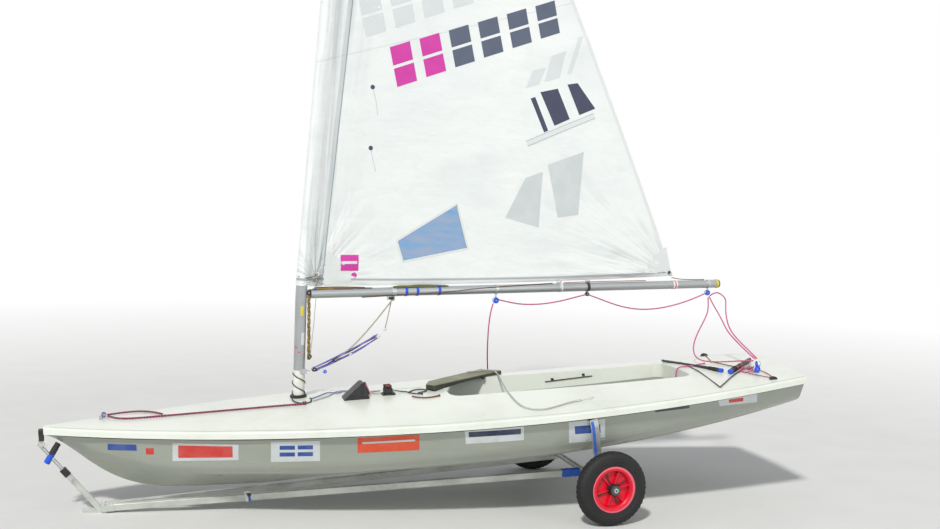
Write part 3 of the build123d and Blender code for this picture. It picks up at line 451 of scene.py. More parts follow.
class Form:
    """A mesh put together from swept, turned and boxed shapes, each with its own material."""

    def __init__(self):
        self.mesh = bmesh.new()
        self.layer = self.mesh.loops.layers.uv.new("UVMap")
        self.materials = []

    def slot(self, finish):
        if finish.material not in self.materials:
            self.materials.append(finish.material)
        return self.materials.index(finish.material)

    def skin(self, rows, finish, closed=False, caps=False, along=None, wrap=False):
        """Faces between rows of points; UVs go once round a row, and along the rows."""
        index = self.slot(finish)
        along = along or list(range(len(rows) + 1))
        count = len(rows[0])
        verts = [[self.mesh.verts.new(point) for point in row] for row in rows]
        for i in range(len(rows) if wrap else len(rows) - 1):
            after = verts[(i + 1) % len(rows)]
            for j in range(count if closed else count - 1):
                k = (j + 1) % count
                face = self.mesh.faces.new((verts[i][j], verts[i][k], after[k], after[j]))
                face.material_index = index
                for loop, (a, b) in zip(face.loops, ((i, j), (i, j + 1), (i + 1, j + 1), (i + 1, j))):
                    loop[self.layer].uv = (b / count, along[a])
        if caps:
            for row in (verts[0][::-1], verts[-1]):
                self.mesh.faces.new(row).material_index = index

    def patch(self, corners, across, down, place, finish):
        """A skin over a quadrilateral of a surface's own places, which place() turns into points."""
        a, b, c, d = [Vector(corner) for corner in corners]
        rows = []
        for share in even(0, 1, down):
            start, end = a.lerp(d, share), b.lerp(c, share)
            rows.append([place(*start.lerp(end, part)) for part in even(0, 1, across)])
        self.skin(rows, finish)

    def tube(self, line, radius, finish, sides=8):
        """A round bar or rope with rounded ends; UVs along it count diameters."""
        total = joined(line)
        length = total[-1]
        soft = [radius * share for share in (0.0, 0.2, 0.6, 1.0)]
        inner = [t for t in total if radius < t < length - radius]
        marks = sorted(set(soft + [length - s for s in soft] + inner))
        points = []
        sizes = []
        for mark in marks:
            i = max(0, min(len(total) - 2, sum(1 for t in total if t <= mark) - 1))
            share = (mark - total[i]) / max(total[i + 1] - total[i], 1e-9)
            points.append(line[i].lerp(line[i + 1], share))
            depth = min(mark, length - mark, radius) / radius
            sizes.append(0.62 + 0.38 * math.sqrt(1 - (1 - depth) ** 2))
        rows = [[point + spot for spot in circle(side, top, radius * size, sides)]
                for (side, top), point, size in zip(frames(points), points, sizes)]
        self.skin(rows, finish, True, True, [mark / (2 * radius) for mark in marks])

    def turn(self, origin, axis, profile, finish, sides=24):
        """A turned shape: a profile of (distance along, radius), in metres, round an axis."""
        axis = axis.normalized()
        side = axis.orthogonal().normalized()
        rows = [[origin + axis * distance + spot for spot in circle(side, axis.cross(side), radius, sides)]
                for distance, radius in profile]
        self.skin(rows, finish, True, True)

    def hoop(self, origin, axis, section, finish, sides=40, arc=None, zero=None, carve=None):
        """A section of (along the axis, radius) carried round it, or over an arc from zero's side."""
        axis = axis.normalized()
        side = (zero - axis * zero.dot(axis)).normalized() if zero else axis.orthogonal().normalized()
        other = axis.cross(side)
        first, last = arc or (0.0, 2 * math.pi)
        rows = []
        for i in range(sides + 1 if arc else sides):
            a = first + (last - first) * i / sides
            out = side * math.cos(a) + other * math.sin(a)
            shape = carve(i, section) if carve else section
            rows.append([origin + axis * distance + out * radius for distance, radius in shape])
        self.skin(rows, finish, True, bool(arc), None, not arc)

    def band(self, origin, axis, half, inner, outer, finish, sides=40, arc=None, zero=None):
        """A flat hoop: half its width, and its two radii."""
        section = [(-half, inner), (half, inner), (half, outer), (-half, outer)]
        self.hoop(origin, axis, section, finish, sides, arc, zero)

    def ring(self, origin, axis, radius, thickness, finish, sides=24, ends=8):
        """A ring of round bar."""
        turns = [2 * math.pi * j / ends for j in range(ends)]
        section = [(thickness * math.sin(b), radius + thickness * math.cos(b)) for b in turns]
        self.hoop(origin, axis, section, finish, sides)

    def block(self, middle, ways, size, finish, bevel=0.002):
        """A rounded block: middle, its two first directions, and its three sizes."""
        index = self.slot(finish)
        a, b = (way.normalized() for way in ways)
        c = a.cross(b).normalized()
        b = c.cross(a)
        low, high = [[self.mesh.verts.new(middle + a * (x * size[0]) + b * (y * size[1]) + c * (z * size[2]))
                      for x, y in ((-0.5, -0.5), (0.5, -0.5), (0.5, 0.5), (-0.5, 0.5))] for z in (-0.5, 0.5)]
        made = [self.mesh.faces.new(low[::-1]), self.mesh.faces.new(high)]
        for j in range(4):
            k = (j + 1) % 4
            made.append(self.mesh.faces.new((low[j], low[k], high[k], high[j])))
        for face in made:
            face.material_index = index
        edges = list({edge for face in made for edge in face.edges})
        bmesh.ops.bevel(self.mesh, geom=edges, offset=bevel, segments=2, profile=0.6, affect="EDGES",
                        material=-1)

    def done(self, name, body, slot=None, angle=38.0, recalc=True, replaced=()):
        """The piece: it rides on a body, or, given two bodies and two places, stays where it is, on no body.
        """
        if recalc:
            bmesh.ops.recalc_face_normals(self.mesh, faces=self.mesh.faces)
        mesh = bpy.data.meshes.new(name)
        self.mesh.to_mesh(mesh)
        self.mesh.free()
        for material in self.materials:
            mesh.materials.append(material)
        for face in mesh.polygons:
            face.use_smooth = True
        mesh.set_sharp_from_angle(angle=math.radians(angle))
        piece = bpy.data.objects.new(name, mesh)
        scene.collection.objects.link(piece)
        if isinstance(body, str):
            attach(piece, body)
        else:
            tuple(body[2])
            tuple(body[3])
            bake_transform(piece)
        if replaced:
            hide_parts(*replaced)
        return piece


def free_cord(name, bodies, points, diameter, finish, far_end, lay, slot=None, replaced=(), sides=8,
              tip=None):
    """A rope over a route's points; tip() makes the piece at its end."""
    form = Form()
    line = spline(points)
    form.tube(line, diameter / 2, finish, sides)
    body = bodies[0] if len(bodies) == 1 else (*bodies, line[0], line[-1])
    piece = form.done(name, body, slot, replaced=replaced)
    ends = []
    if tip:
        end = Form()
        tip(end, line)
        ends = [end.done(name.replace("_rope", "") + "_end", "boat")]
    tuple(line[0])
    joined(line)[-1]


def knot(finish, radius, thickness, sides=20, ends=8, back=0.002, away=3):
    """A tip for free_cord: two crossed turns of the rope at its end."""
    def tie(form, line):
        way = (line[-1] - line[-away]).normalized()
        for lean, shift in ((0.5, back), (-0.5, 0.002)):
            axis = (way + way.orthogonal().normalized() * lean).normalized()
            form.ring(line[-1] - way * shift, axis, radius, thickness, finish, sides, ends)
    return tie


# Free ropes, on the routes of the part's solids
SHEET_DIAMETER = 0.008
PAINTER_DIAMETER = 0.010
PAINTER_LIFT = 8.0
BOW_EYE_LEGS = (295.5, 334.5)
swags = {
    "sheet_swag_aft": [(2664, 57), (2580, 88), (2480, 117), (2372, 139), (2262, 150), (2155, 147),
                       (2050, 128), (1960, 100), (1880, 71), (1808, 46)],
    "sheet_swag_forward": [(1800, 46), (1730, 60), (1640, 79), (1545, 93), (1450, 98), (1360, 94),
                           (1280, 80), (1199, 60)],
}
painter = [(BOW_EYE_LEGS[1], 0, 14), (352, -24, 11), (385, -58), (440, -88), (520, -104),
           (1290, -186), (1335, -197), (1378, -186)]
painter_tail = [(BOW_EYE_LEGS[0], 0, 14), (300, 34, 11), (318, 84), (362, 128), (420, 138),
                (480, 108), (535, 50), (588, -22), (632, -98)]


def painter_whipping(form, line):
    way = (line[-1] - line[-4]).normalized()
    whipping = [(0, 0.0052), (0.001, 0.0056), (0.013, 0.0056), (0.0145, 0.0045)]
    form.turn(line[-1] - way * 0.014, way, whipping, white_plastic, 16)


for name, route in swags.items():
    free_cord(name + "_rope", ["rig"], [by_boom(*point) for point in route], SHEET_DIAMETER, magenta_braid,
              "object", "hanging", "rope", [name], 10)
painter_knot = knot(painter_braid, 0.0075, 0.0042, 24, 10, 0.010, 4)
for name, route, far_end, tip in (("painter", painter, "knot", painter_knot),
                                  ("painter_tail", painter_tail, "bare", painter_whipping)):
    points = [on_deck(*(point if len(point) == 3 else (*point, PAINTER_LIFT))) for point in route]
    free_cord(name + "_rope", ["boat"], points, PAINTER_DIAMETER, painter_braid, far_end, "loose", "rope",
              [name], 12, tip)


# Sail: one cloth with its sleeve round the mast, in its own plane's metres
TACK, HEAD = 0.048, 4.09
CLEW = (2.398, 0.245)
SEAM_ALONG = 0.118
SLEEVE_RADIUS = 0.0345
FOLD_GROWTH = 2.2
WINDOW = [(0.544, 0.333), (0.906, 0.573), (0.997, 0.318), (0.593, 0.216)]
SAIL_ROWS = 96
SAIL_COLUMNS = 72
SLEEVE_STEPS = 10
CLOTH_STEP = 0.03
LUFF_EDGE, BELLY_DEPTH = 0.04, 0.042
RIDGE_HEIGHT, GROOVE_DEPTH, RIDGE_WIDTH, GROOVE_BELOW = 0.007, 0.004, 0.012, 0.02
RIPPLE = 0.0012
# Circles through the sail's corners: middle along, middle up, radius
leech_arc = (-34.782221, -19.412252, 42.056823)
foot_arc = (-2.154212, 40.608472, 40.619361)
# The fold above the foot: its height at the mast, its slope and its curve
foot_fold = (0.0841, 0.0403, 0.0152)
# Soft folds: a place, the way that the fold runs, its half width, its height and its length
folds = [
    ((2.36, 0.25), (-0.93, 0.37), 0.030, 0.0050, 0.55),
    ((2.34, 0.30), (-0.72, 0.69), 0.035, 0.0045, 0.60),
    ((2.30, 0.22), (-0.99, 0.08), 0.028, 0.0040, 0.90),
    ((0.10, 0.16), (0.55, 0.83), 0.030, 0.0035, 0.50),
    ((0.12, 0.14), (0.93, 0.36), 0.028, 0.0030, 0.50),
    ((0.13, 1.10), (0.80, -0.60), 0.040, 0.0030, 0.45),
    ((0.14, 1.75), (0.78, -0.63), 0.045, 0.0032, 0.50),
    ((1.20, 0.16), (0.99, 0.10), 0.020, 0.0030, 1.10),
    ((0.60, 0.75), (0.96, 0.28), 0.060, 0.0030, 0.90),
    ((1.10, 1.45), (0.97, 0.24), 0.070, 0.0030, 0.70),
]


def leech(v):
    return leech_arc[0] + math.sqrt(leech_arc[2] ** 2 - (v - leech_arc[1]) ** 2)


def foot(u):
    return foot_arc[1] - math.sqrt(foot_arc[2] ** 2 - (u - foot_arc[0]) ** 2)


def clamped(value):
    return max(0.0, min(1.0, value))


def belly(u, v):
    """How far the cloth stands to port of its plane."""
    share = clamped((u - LUFF_EDGE) / (leech(max(v, CLEW[1])) - LUFF_EDGE))
    rise = clamped((v - TACK) / (HEAD - TACK))
    depth = BELLY_DEPTH * (1 - rise) ** 0.6 * (0.45 + 0.55 * min(1.0, (v - 0.05) / 0.5))
    total = -depth * math.sin(math.pi * share ** 0.85)
    for (pu, pv), (wu, wv), width, height, length in folds:
        size = math.hypot(wu, wv)
        along = ((u - pu) * wu + (v - pv) * wv) / size
        off = ((u - pu) * wv - (v - pv) * wu) / size
        if 0 < along < length:
            swell = math.sin(math.pi * along / length) ** 0.7
            total += FOLD_GROWTH * height * math.exp(-(off / width) ** 2) * swell
    crease = v - (foot_fold[0] + foot_fold[1] * u + foot_fold[2] * u * u)
    ease = clamped(min((u - 0.13) / 0.2, (2.36 - u) / 0.15))
    ridge, groove = [math.exp(-((crease + shift) / RIDGE_WIDTH) ** 2) for shift in (0, GROOVE_BELOW)]
    return total + ease * (RIDGE_HEIGHT * ridge - GROOVE_DEPTH * groove)


def sail_place(u, v, off=0.0):
    """Place in the sail's plane, or off it to port."""
    return GOOSENECK + sail_way * u + mast_way * v + sail_port * off


def on_sail(u, v, lift=0.0):
    return sail_place(u, v, belly(u, v) + lift)


# Sailcloth: its tone, then seams, painted shade in folds and creases, and grime over it
sailcloth = Finish("sailcloth", "#eef0ec", 0.5, Sheen_Weight=0.08)
cloth_u, cloth_v = sailcloth.split(sailcloth.node("ShaderNodeTexCoord", {}, "UV"))[:2]


def cloth_noise(scale, detail, stretch=(1, 1, 1)):
    return sailcloth.noise(scale, detail, stretch, "UV")


def pulled(corner_u, corner_v, reach, turns):
    """Creases that fan out from a corner of the cloth, with painted shade in them over the tone so far; gives
    their height.
    """
    off_u, off_v = cloth_u - corner_u, cloth_v - corner_v
    away = sailcloth.maths("SQRT", off_u * off_u + off_v * off_v)
    angle = sailcloth.maths("ARCTAN2", off_v, abs(off_u))
    creases = sailcloth.streaks(angle * turns, away * 1.4, 3.0)
    fade = sailcloth.ramp(away, 0.05, reach, 1.0, 0.0)
    sailcloth.paint(sailcloth.ramp(creases, 0.34, 0.48, 0.42, 0.0) * fade, "#9fabb2")
    return (creases - 0.5) * fade


sailcloth.paint(sailcloth.ramp(cloth_noise(2.2, 3.0), 0.35, 0.7, 0.0, 0.55), "#dde3e4", linear("#ebeeec"))
# Panel seams across the leech, and painted shade of the fold along the sleeve's seam: place, way, half width,
# tone, strength
seam_lines_and_shade = [((u, v), (0.945, 0.328), 0.005, "#b9c0c4", 0.30)
         for u, v in ((0.164, 1.346), (0.9, 2.25), (0.7, 2.85), (0.5, 3.35))]
seam_lines_and_shade += [((u, 0.185), (0.0227, 1.0), half, "#8b949b", strength)
          for u, half, strength in ((0.104, 0.018, 0.4), (0.118, 0.004, 0.9))]
for (u, v), (way_u, way_v), half, tone, strength in seam_lines_and_shade:
    size = math.hypot(way_u, way_v)
    across = abs((cloth_u - u) * (way_v / size) + (cloth_v - v) * (-way_u / size))
    sailcloth.paint(sailcloth.ramp(across, half * 0.6, half, strength, 0.0), tone)
clew_creases = pulled(CLEW[0] + 0.03, CLEW[1] - 0.02, 1.25, 7.0)
tack_creases = pulled(0.07, 0.08, 0.6, 4.5)
luff_creases = sailcloth.streaks(cloth_u * 17.0, cloth_v * 0.9, 2.0)
luff_fade = sailcloth.ramp(cloth_u, 0.02, 0.30, 1.0, 0.0)
# Painted shade in the creases by the luff
sailcloth.paint(sailcloth.ramp(luff_creases, 0.36, 0.46, 0.4, 0.0) * luff_fade, "#a3adb3")
fold_off = cloth_v - (cloth_u * foot_fold[1] + foot_fold[0] + cloth_u * cloth_u * foot_fold[2])
# Painted shade along the fold above the foot
sailcloth.paint(sailcloth.ramp(abs(fold_off), 0.003, 0.009, 0.75, 0.0), "#8e9496")
sailcloth.paint(sailcloth.ramp(cloth_noise(9.0, 6.0), 0.56, 0.8, 0.0, 0.18), "#cfd0c8")
sailcloth.bump(sailcloth.maths("SINE", cloth_u * 2600.0) * sailcloth.maths("SINE", cloth_v * 2600.0), 0.00005)
sailcloth.bump(cloth_noise(5.0, 5.0, (1.0, 2.2, 1.0)), 0.012, 0.6)
sailcloth.bump(clew_creases, 0.03, 0.9)
sailcloth.bump(tack_creases, 0.03, 0.9)
sailcloth.bump(luff_creases * luff_fade, 0.02, 0.8)
sailcloth.bump(cloth_noise(26.0, 3.0), 0.0012, 0.5)
film = Finish("clear_film", "#8fa6c4", 0.08, Transmission_Weight=0.3, IOR=1.06)
film.paint(film.ramp(film.noise(6.0, 3.0, (1.0, 4.0, 1.0), "UV"), 0.4, 0.66), "#6a9ccb", linear("#8c9fbd"))
film.bump(film.noise(9.0, 3.0, (1.0, 1.0, 1.0), "UV"), 0.004, 0.4)
# Painted shade: the other face's prints as they show through the cloth
shade_grey = worn("print_shade_through_cloth", "#d6dadb", 0.5, "#ccd2d4", 0.5, 12.0, 2000, 0.04)
faded_grey = worn("faded_print", "#c6cccd", 0.5, "#d8dcdd", 0.6, 12.0, 2000, 0.04)
cloth_tape = worn("cloth_tape", "#dce0df", 0.55, "#cfd4d3", 0.4, 20.0, 2500, 0.1)
print_magenta = worn("print_magenta", "#cf3aa2", 0.5, "#b02a86", 0.35, 14.0, 2000, 0.04)
print_slate = worn("print_slate", "#565f72", 0.5, "#4a5263", 0.4, 14.0, 2000, 0.04)
print_dark = worn("print_dark", "#3b3f56", 0.5, "#4b4f63", 0.4, 14.0, 2000, 0.04)
stitch = worn("stitch", "#9aa1a8", 0.7, "#6f767d", 0.4, 60.0, 2500, 0.2)


def sleeve_row(luff_v):
    """Places round the sleeve at a height: along, up, and the point itself."""
    loop = []
    for part in [k / SLEEVE_STEPS for k in range(SLEEVE_STEPS)]:
        loop.append((SEAM_ALONG * (1 - part), SLEEVE_RADIUS * part * part * (3 - 2 * part)))
    for a in [math.pi / 2 * k / SLEEVE_STEPS for k in range(SLEEVE_STEPS)]:
        loop.append((-SLEEVE_RADIUS * math.sin(a), SLEEVE_RADIUS * math.cos(a)))
    loop.append((-SLEEVE_RADIUS, 0.0))
    row = []
    for u, w in loop + [(u, -w) for u, w in loop[-2:0:-1]]:
        ripple = RIPPLE * math.sin(9.0 * luff_v + 14 * u) * (1 if w >= 0 else 0.6) * (w != 0)
        lean = belly(SEAM_ALONG, luff_v) * max(u, 0.0) / SEAM_ALONG
        row.append((u, luff_v, sail_place(u, luff_v, w + ripple + lean)))
    return row


def panel_row(share, luff_v):
    """Places from the sleeve's seam to the leech on a row of the sail."""
    leech_v = CLEW[1] + (HEAD - CLEW[1]) * share
    row = []
    for s in even(0, 1, SAIL_COLUMNS):
        u = SEAM_ALONG + (leech(leech_v) - SEAM_ALONG) * s
        base_u = SEAM_ALONG + (leech(CLEW[1]) - SEAM_ALONG) * s
        sag = foot(base_u) - (TACK + (CLEW[1] - TACK) * s)
        v = luff_v + (leech_v - luff_v) * s + sag * (1 - share)
        row.append((u, v, on_sail(u, v)))
    return row


cloth = Form()
cloth_index, film_index = cloth.slot(sailcloth), cloth.slot(film)
grid = []
for share in [step ** 1.15 for step in even(0, 1, SAIL_ROWS)]:
    luff_v = TACK + (HEAD - TACK) * share
    panel = [(u, v, cloth.mesh.verts.new(point)) for u, v, point in panel_row(share, luff_v)]
    sleeve = [(u, v, cloth.mesh.verts.new(point)) for u, v, point in sleeve_row(luff_v)[1:]]
    grid.append(([(SEAM_ALONG, luff_v, panel[0][2])] + sleeve + [(SEAM_ALONG, luff_v, panel[0][2])], panel))
for below, above in zip(grid, grid[1:]):
    for low, high in zip(below, above):
        for j in range(len(low) - 1):
            corners = (low[j], low[j + 1], high[j + 1], high[j])
            face = cloth.mesh.faces.new([vert for u, v, vert in corners])
            for corner, (u, v, vert) in zip(face.loops, corners):
                corner[cloth.layer].uv = (u, v)


def plane_place(face):
    """Where a face lies in the sail's plane."""
    off = face.calc_center_median() - GOOSENECK
    return off.dot(sail_way), off.dot(mast_way)


def near_window(face):
    u, v = plane_place(face)
    return 0.45 < u < 1.08 and 0.12 < v < 0.66


def inside_window(u, v):
    signs = [(u2 - u1) * (v - v1) - (v2 - v1) * (u - u1) > 0 for (u1, v1), (u2, v2) in window_edges]
    return all(signs) or not any(signs)


# The window's film: the cloth is cut along the window's edges, and what is inside them is film
window_edges = list(zip(WINDOW, WINDOW[1:] + WINDOW[:1]))
for (u1, v1), (u2, v2) in window_edges:
    faces = [face for face in cloth.mesh.faces if near_window(face)]
    parts = list({vert for face in faces for vert in face.verts})
    parts += list({edge for face in faces for edge in face.edges}) + faces
    start = sail_place(u1, v1)
    across = (sail_place(u2, v2) - start).cross(sail_port).normalized()
    bmesh.ops.bisect_plane(cloth.mesh, geom=parts, plane_co=start, plane_no=across, dist=1e-6)
for face in cloth.mesh.faces:
    face.material_index = film_index if inside_window(*plane_place(face)) else cloth_index
sail_piece = cloth.done("sail_cloth", "rig", "sailcloth", 60.0, False, ["sail"])


def sail_patch(form, corners, finish, lift):
    """A flat patch on the cloth, its outline a quadrilateral of the sail's places."""
    a, b, c, d = corners
    across = max(2, round(max(math.dist(a, b), math.dist(d, c)) / CLOTH_STEP))
    up = max(2, round(max(math.dist(b, c), math.dist(a, d)) / CLOTH_STEP))
    form.patch(corners, across, up, lambda u, v: on_sail(u, v, lift), finish)


def sail_strip(form, line, width, finish, lift):
    """A flat tape on the cloth along a line of the sail's places."""
    rows = []
    for i, (u, v) in enumerate(line):
        (u1, v1), (u2, v2) = line[max(i - 1, 0)], line[min(i + 1, len(line) - 1)]
        size = math.hypot(u2 - u1, v2 - v1)
        off_u, off_v = -(v2 - v1) / size * width / 2, (u2 - u1) / size * width / 2
        rows.append([on_sail(u + off_u, v + off_v, lift), on_sail(u - off_u, v - off_v, lift)])
    form.skin(rows, finish)


def fine(points, count):
    """Points laid evenly along a polygon of the sail's places."""
    made = []
    for (u1, v1), (u2, v2) in zip(points, points[1:]):
        made += [(u1 + (u2 - u1) * k / count, v1 + (v2 - v1) * k / count) for k in range(count)]
    return made + [points[-1]]


# The cloth's two faces: the way that each looks, off the sail's plane
FACES = ((1, "port"), (-1, "starboard"))

# Tapes at the leech and foot, the window's border, corner patches, batten pockets, the rings in the
# tack and clew, and the tell-tales
leech_line = [(leech(v) - 0.012, v) for v in even(0.262, 4.05, 90)]
foot_line = [(u, foot(u) + 0.010) for u in even(0.13, 2.37, 60)]
pockets = [((1.311, 0.962), (1.735, 1.172))]
for low_v, high_v in ((1.96, 2.12), (2.86, 2.98)):
    pockets.append(((leech(high_v) - 0.40, low_v), (leech(high_v) - 0.024, high_v)))
tell_tales = [((0.316, 1.181), (0.345, 1.10), (0.361, 1.029)), ((0.337, 0.842), (0.355, 0.78), (0.38, 0.711))]
for side, word in FACES:
    lift = 0.0009 * side
    trim = Form()
    sail_strip(trim, leech_line, 0.020, cloth_tape, lift)
    sail_strip(trim, foot_line, 0.016, cloth_tape, lift)
    sail_strip(trim, fine(WINDOW + WINDOW[:1], 12), 0.012, cloth_tape, lift)
    for (cu, cv), corners in (((2.385, 0.252), ((-0.20, 0.0), (-0.15, 0.10), (-0.055, 0.17))),
                              ((0.125, 0.062), ((0.17, 0.012), (0.12, 0.13), (0.0, 0.19)))):
        sail_patch(trim, [(cu, cv)] + [(cu + a, cv + b) for a, b in corners], cloth_tape, lift * 0.6)
    for pocket in pockets:
        sail_strip(trim, fine(pocket, 16), 0.034, cloth_tape, 0.0014 * side)
        for off in (-0.015, 0.015):
            sail_strip(trim, fine([(u - 0.45 * off, v + 0.9 * off) for u, v in pocket], 16), 0.0022, stitch,
                       0.0018 * side)
    for route in tell_tales:
        sail_strip(trim, fine(route, 8), 0.0035, faded_grey, 0.0022 * side)
        trim.turn(on_sail(*route[0], 0.0006 * side), sail_port * side,
                  [(0, 0.013), (0.0014, 0.012), (0.002, 0.006)], print_dark, 18)
    tack_ring = on_sail(0.12, 0.122, 0.001 * side) - sail_way * 0.042 + sail_port * (0.020 * side)
    clew_ring = on_sail(CLEW[0] - 0.03, CLEW[1] + 0.018, 0.001 * side)
    for spot, finish in ((tack_ring, white_plastic), (clew_ring, black_fitting)):
        trim.ring(spot, sail_port, 0.0125, 0.0035, steel)
        trim.turn(spot, sail_port * side, [(-0.001, 0.010), (0.0005, 0.009)], finish, 18)
    trim.done("sail_tapes_" + word, "rig", "sailcloth", recalc=False)

# A row of plain slit blocks across the sail, three blocks below it, two faded ones under those, a
# small block at the tack, and the other side's row and blocks as the painted shade they cast through the
# cloth
ROW_WAY = (0.1732, 0.0766)
BLOCK_WIDE, BLOCK_RISE = 0.118, 0.05
BLOCK_HEIGHT, HEIGHT_STEP = 0.227, 0.007
BLOCK_SLANT, BLOCK_UPRIGHT = 0.30, 0.95
SLIT = (0.46, 0.54)
near_row, through_row = (0.465, 1.198), (0.248, 1.45)
near_blocks = [((1.307, 1.228), (1.335, 1.24), (1.442, 1.053), (1.417, 1.039)),
               ((1.365, 1.272), (1.475, 1.305), (1.575, 1.135), (1.480, 1.085)),
               ((1.535, 1.336), (1.600, 1.352), (1.735, 1.215), (1.635, 1.165))]
through_blocks = [((1.271, 1.285), (1.353, 1.318), (1.385, 1.42), (1.30, 1.39)),
                  ((1.385, 1.335), (1.48, 1.37), (1.50, 1.53), (1.41, 1.49)),
                  ((1.525, 1.393), (1.555, 1.405), (1.60, 1.632), (1.57, 1.62))]
tack_label = [(0.211, 0.231), (0.318, 0.238), (0.326, 0.148), (0.22, 0.142)]
tack_bar = [(0.225, 0.197), (0.312, 0.203), (0.315, 0.187), (0.227, 0.181)]
faded_blocks = [((1.222, 0.516), (1.328, 0.761), (1.436, 0.807), (1.446, 0.474)),
                ((1.465, 0.851), (1.691, 0.95), (1.70, 0.571), (1.566, 0.543))]


def block_row(form, corner, tones, lift):
    """Plain slanted blocks, each parted by a slit, that get a little lower along the row."""
    for index, tone in enumerate(tones):
        u0, v0 = corner[0] + ROW_WAY[0] * index, corner[1] + ROW_WAY[1] * index
        height = BLOCK_HEIGHT - HEIGHT_STEP * index
        for low, high in ((0.0, SLIT[0]), (SLIT[1], 1.0)):
            sail_patch(form, [(u0 + BLOCK_WIDE * a - BLOCK_SLANT * height * b,
                               v0 + BLOCK_RISE * a + BLOCK_UPRIGHT * height * b)
                              for a, b in ((0, low), (1, low), (1, high), (0, high))], tone, lift)


for side, word in FACES:
    blocks = Form()
    lift = 0.0008 * side
    front, back = (near_row, through_row)[::side]
    block_row(blocks, front, [print_magenta] * 2 + [print_slate] * 4, lift)
    block_row(blocks, back, [shade_grey] * 6, lift)
    for group, tone in zip((near_blocks, through_blocks), (print_dark, shade_grey)[::side]):
        for corners in group:
            sail_patch(blocks, corners, tone, lift)
    for corners in faded_blocks:
        sail_patch(blocks, corners, faded_grey, lift)
    sail_patch(blocks, tack_label, print_magenta, lift * 1.5)
    sail_patch(blocks, tack_bar, white_plastic, 0.0018 * side)
    blocks.turn(on_sail(0.302, 0.120, 0.0006 * side), sail_port * side, [(0, 0.0175), (0.001, 0.0165)],
                print_magenta, 20)
    blocks.done("sail_blocks_" + word, "rig", "sailcloth", recalc=False)

# Wheels: tyres with moulded lugs and side grooves, in place of the plain ones; the rim's lip, the
# hub's cap and bolts, and the axle's nut
TOE = math.radians(6.0)
LUG_STEPS, LUG_DEPTH = 4, 3.2
HUB_FACE, NUT_FACE = 0.0563, 0.0585
BOLT_CIRCLE, BOLT_TURN = 0.045, 1.15
tyre_half = [
    (35.3, 107.0), (35.3, 128.6), (37.6, 136.0), (39.6, 145.5), (38.9, 147.0), (40.2, 148.5), (41.3, 156.0),
    (41.7, 163.0), (40.9, 164.5), (41.5, 166.0), (41.0, 172.5), (39.4, 180.0), (36.6, 187.4), (32.6, 193.0),
    (28.0, 196.8), (22.0, 199.8), (16.0, 201.7), (9.6, 202.3), (8.6, 199.6), (6.4, 199.6), (5.4, 202.6),
]
tyre_section = tyre_half + [(-out, radius) for out, radius in reversed(tyre_half)]
rim_lip = [(0.0340, 0.103), (0.0368, 0.104), (0.0392, 0.109), (0.0396, 0.1225), (0.0380, 0.1262),
           (0.0340, 0.1262)]
hub_sleeve = [(-0.002, 0.0275), (0.05, 0.0275), (0.053, 0.0290), (0.050, 0.0305), (-0.002, 0.0305)]


def lugged(step, section):
    """The tyre's section, cut down across the tread at each gap between lugs."""
    made = []
    for out, radius in section:
        at_gap = (step + (2 if out < 0 else 0)) % LUG_STEPS == 0
        cut = LUG_DEPTH if at_gap and abs(out) > 9.0 and radius > 186 else 0.0
        made.append((out / 1000, (radius - cut) / 1000))
    return made


for side, word in SIDES:
    middle = Vector((WHEEL_MIDDLE.x, side * WHEEL_MIDDLE.y, WHEEL_MIDDLE.z))
    out = Vector((math.sin(TOE), side * math.cos(TOE), 0))
    tyre = Form()
    tyre.hoop(middle, out, tyre_section, tyre_rubber, 176, carve=lugged)
    tyre.done("tyre_tread_" + word, "wheel_" + word, "tyre", 50.0, replaced=["tyre_" + word])
    cap = Form()
    cap.hoop(middle, out, rim_lip, rim_paint, 96)
    cap.band(middle + out * HUB_FACE, out, 0.0012, 0.0135, 0.026, hub_grey, 28)
    for a in [math.pi / 2 * k + BOLT_TURN for k in range(4)]:
        way = UP * math.sin(a) + out.cross(UP) * math.cos(a)
        cap.turn(middle + way * BOLT_CIRCLE + out * 0.0035, out,
                 [(0, 0.0062), (0.0052, 0.0062), (0.006, 0.005)], black_fitting, 6)
    cap.hoop(middle, out, hub_sleeve, black_fitting, 28)
    cap.done("hub_trim_" + word, "wheel_" + word)
    nut = Form()
    nut.turn(middle + out * NUT_FACE, out, [(0, 0.0095), (0.004, 0.0095), (0.0055, 0.008)], steel, 6)
    nut.turn(middle + out * NUT_FACE, out, [(0.005, 0.0052), (0.006, 0.0052)], black_fitting, 16)
    nut.done("axle_nut_" + word, "boat")


# Boom: blocks on their straps, in place of the plain ones
BOOM_RADIUS = 25.5
BAND_INNER, BAND_OUTER = 0.0256, 0.0274


def pulley(form, middle, axis, radius, cheek, wheel=white_plastic, gap=0.0062):
    """A block: its grooved wheel between two cheeks, and its pin."""
    groove = [(gap * a, radius * b) for a, b in ((0, 0.86), (0.3, 0.86), (1, 0.68), (1.7, 0.86), (2, 0.86))]
    plate = [(a, radius * b) for a, b in ((0.0, 0.97), (0.0012, 1), (0.0026, 0.95), (0.0034, 0.6))]
    form.turn(middle - axis * gap, axis, groove, wheel)
    for way in (axis, -axis):
        form.turn(middle + way * gap, way, plate, cheek)
        form.turn(middle + way * (gap + 0.003), way, [(0, 0.0042), (0.0016, 0.0036)], steel, 12)


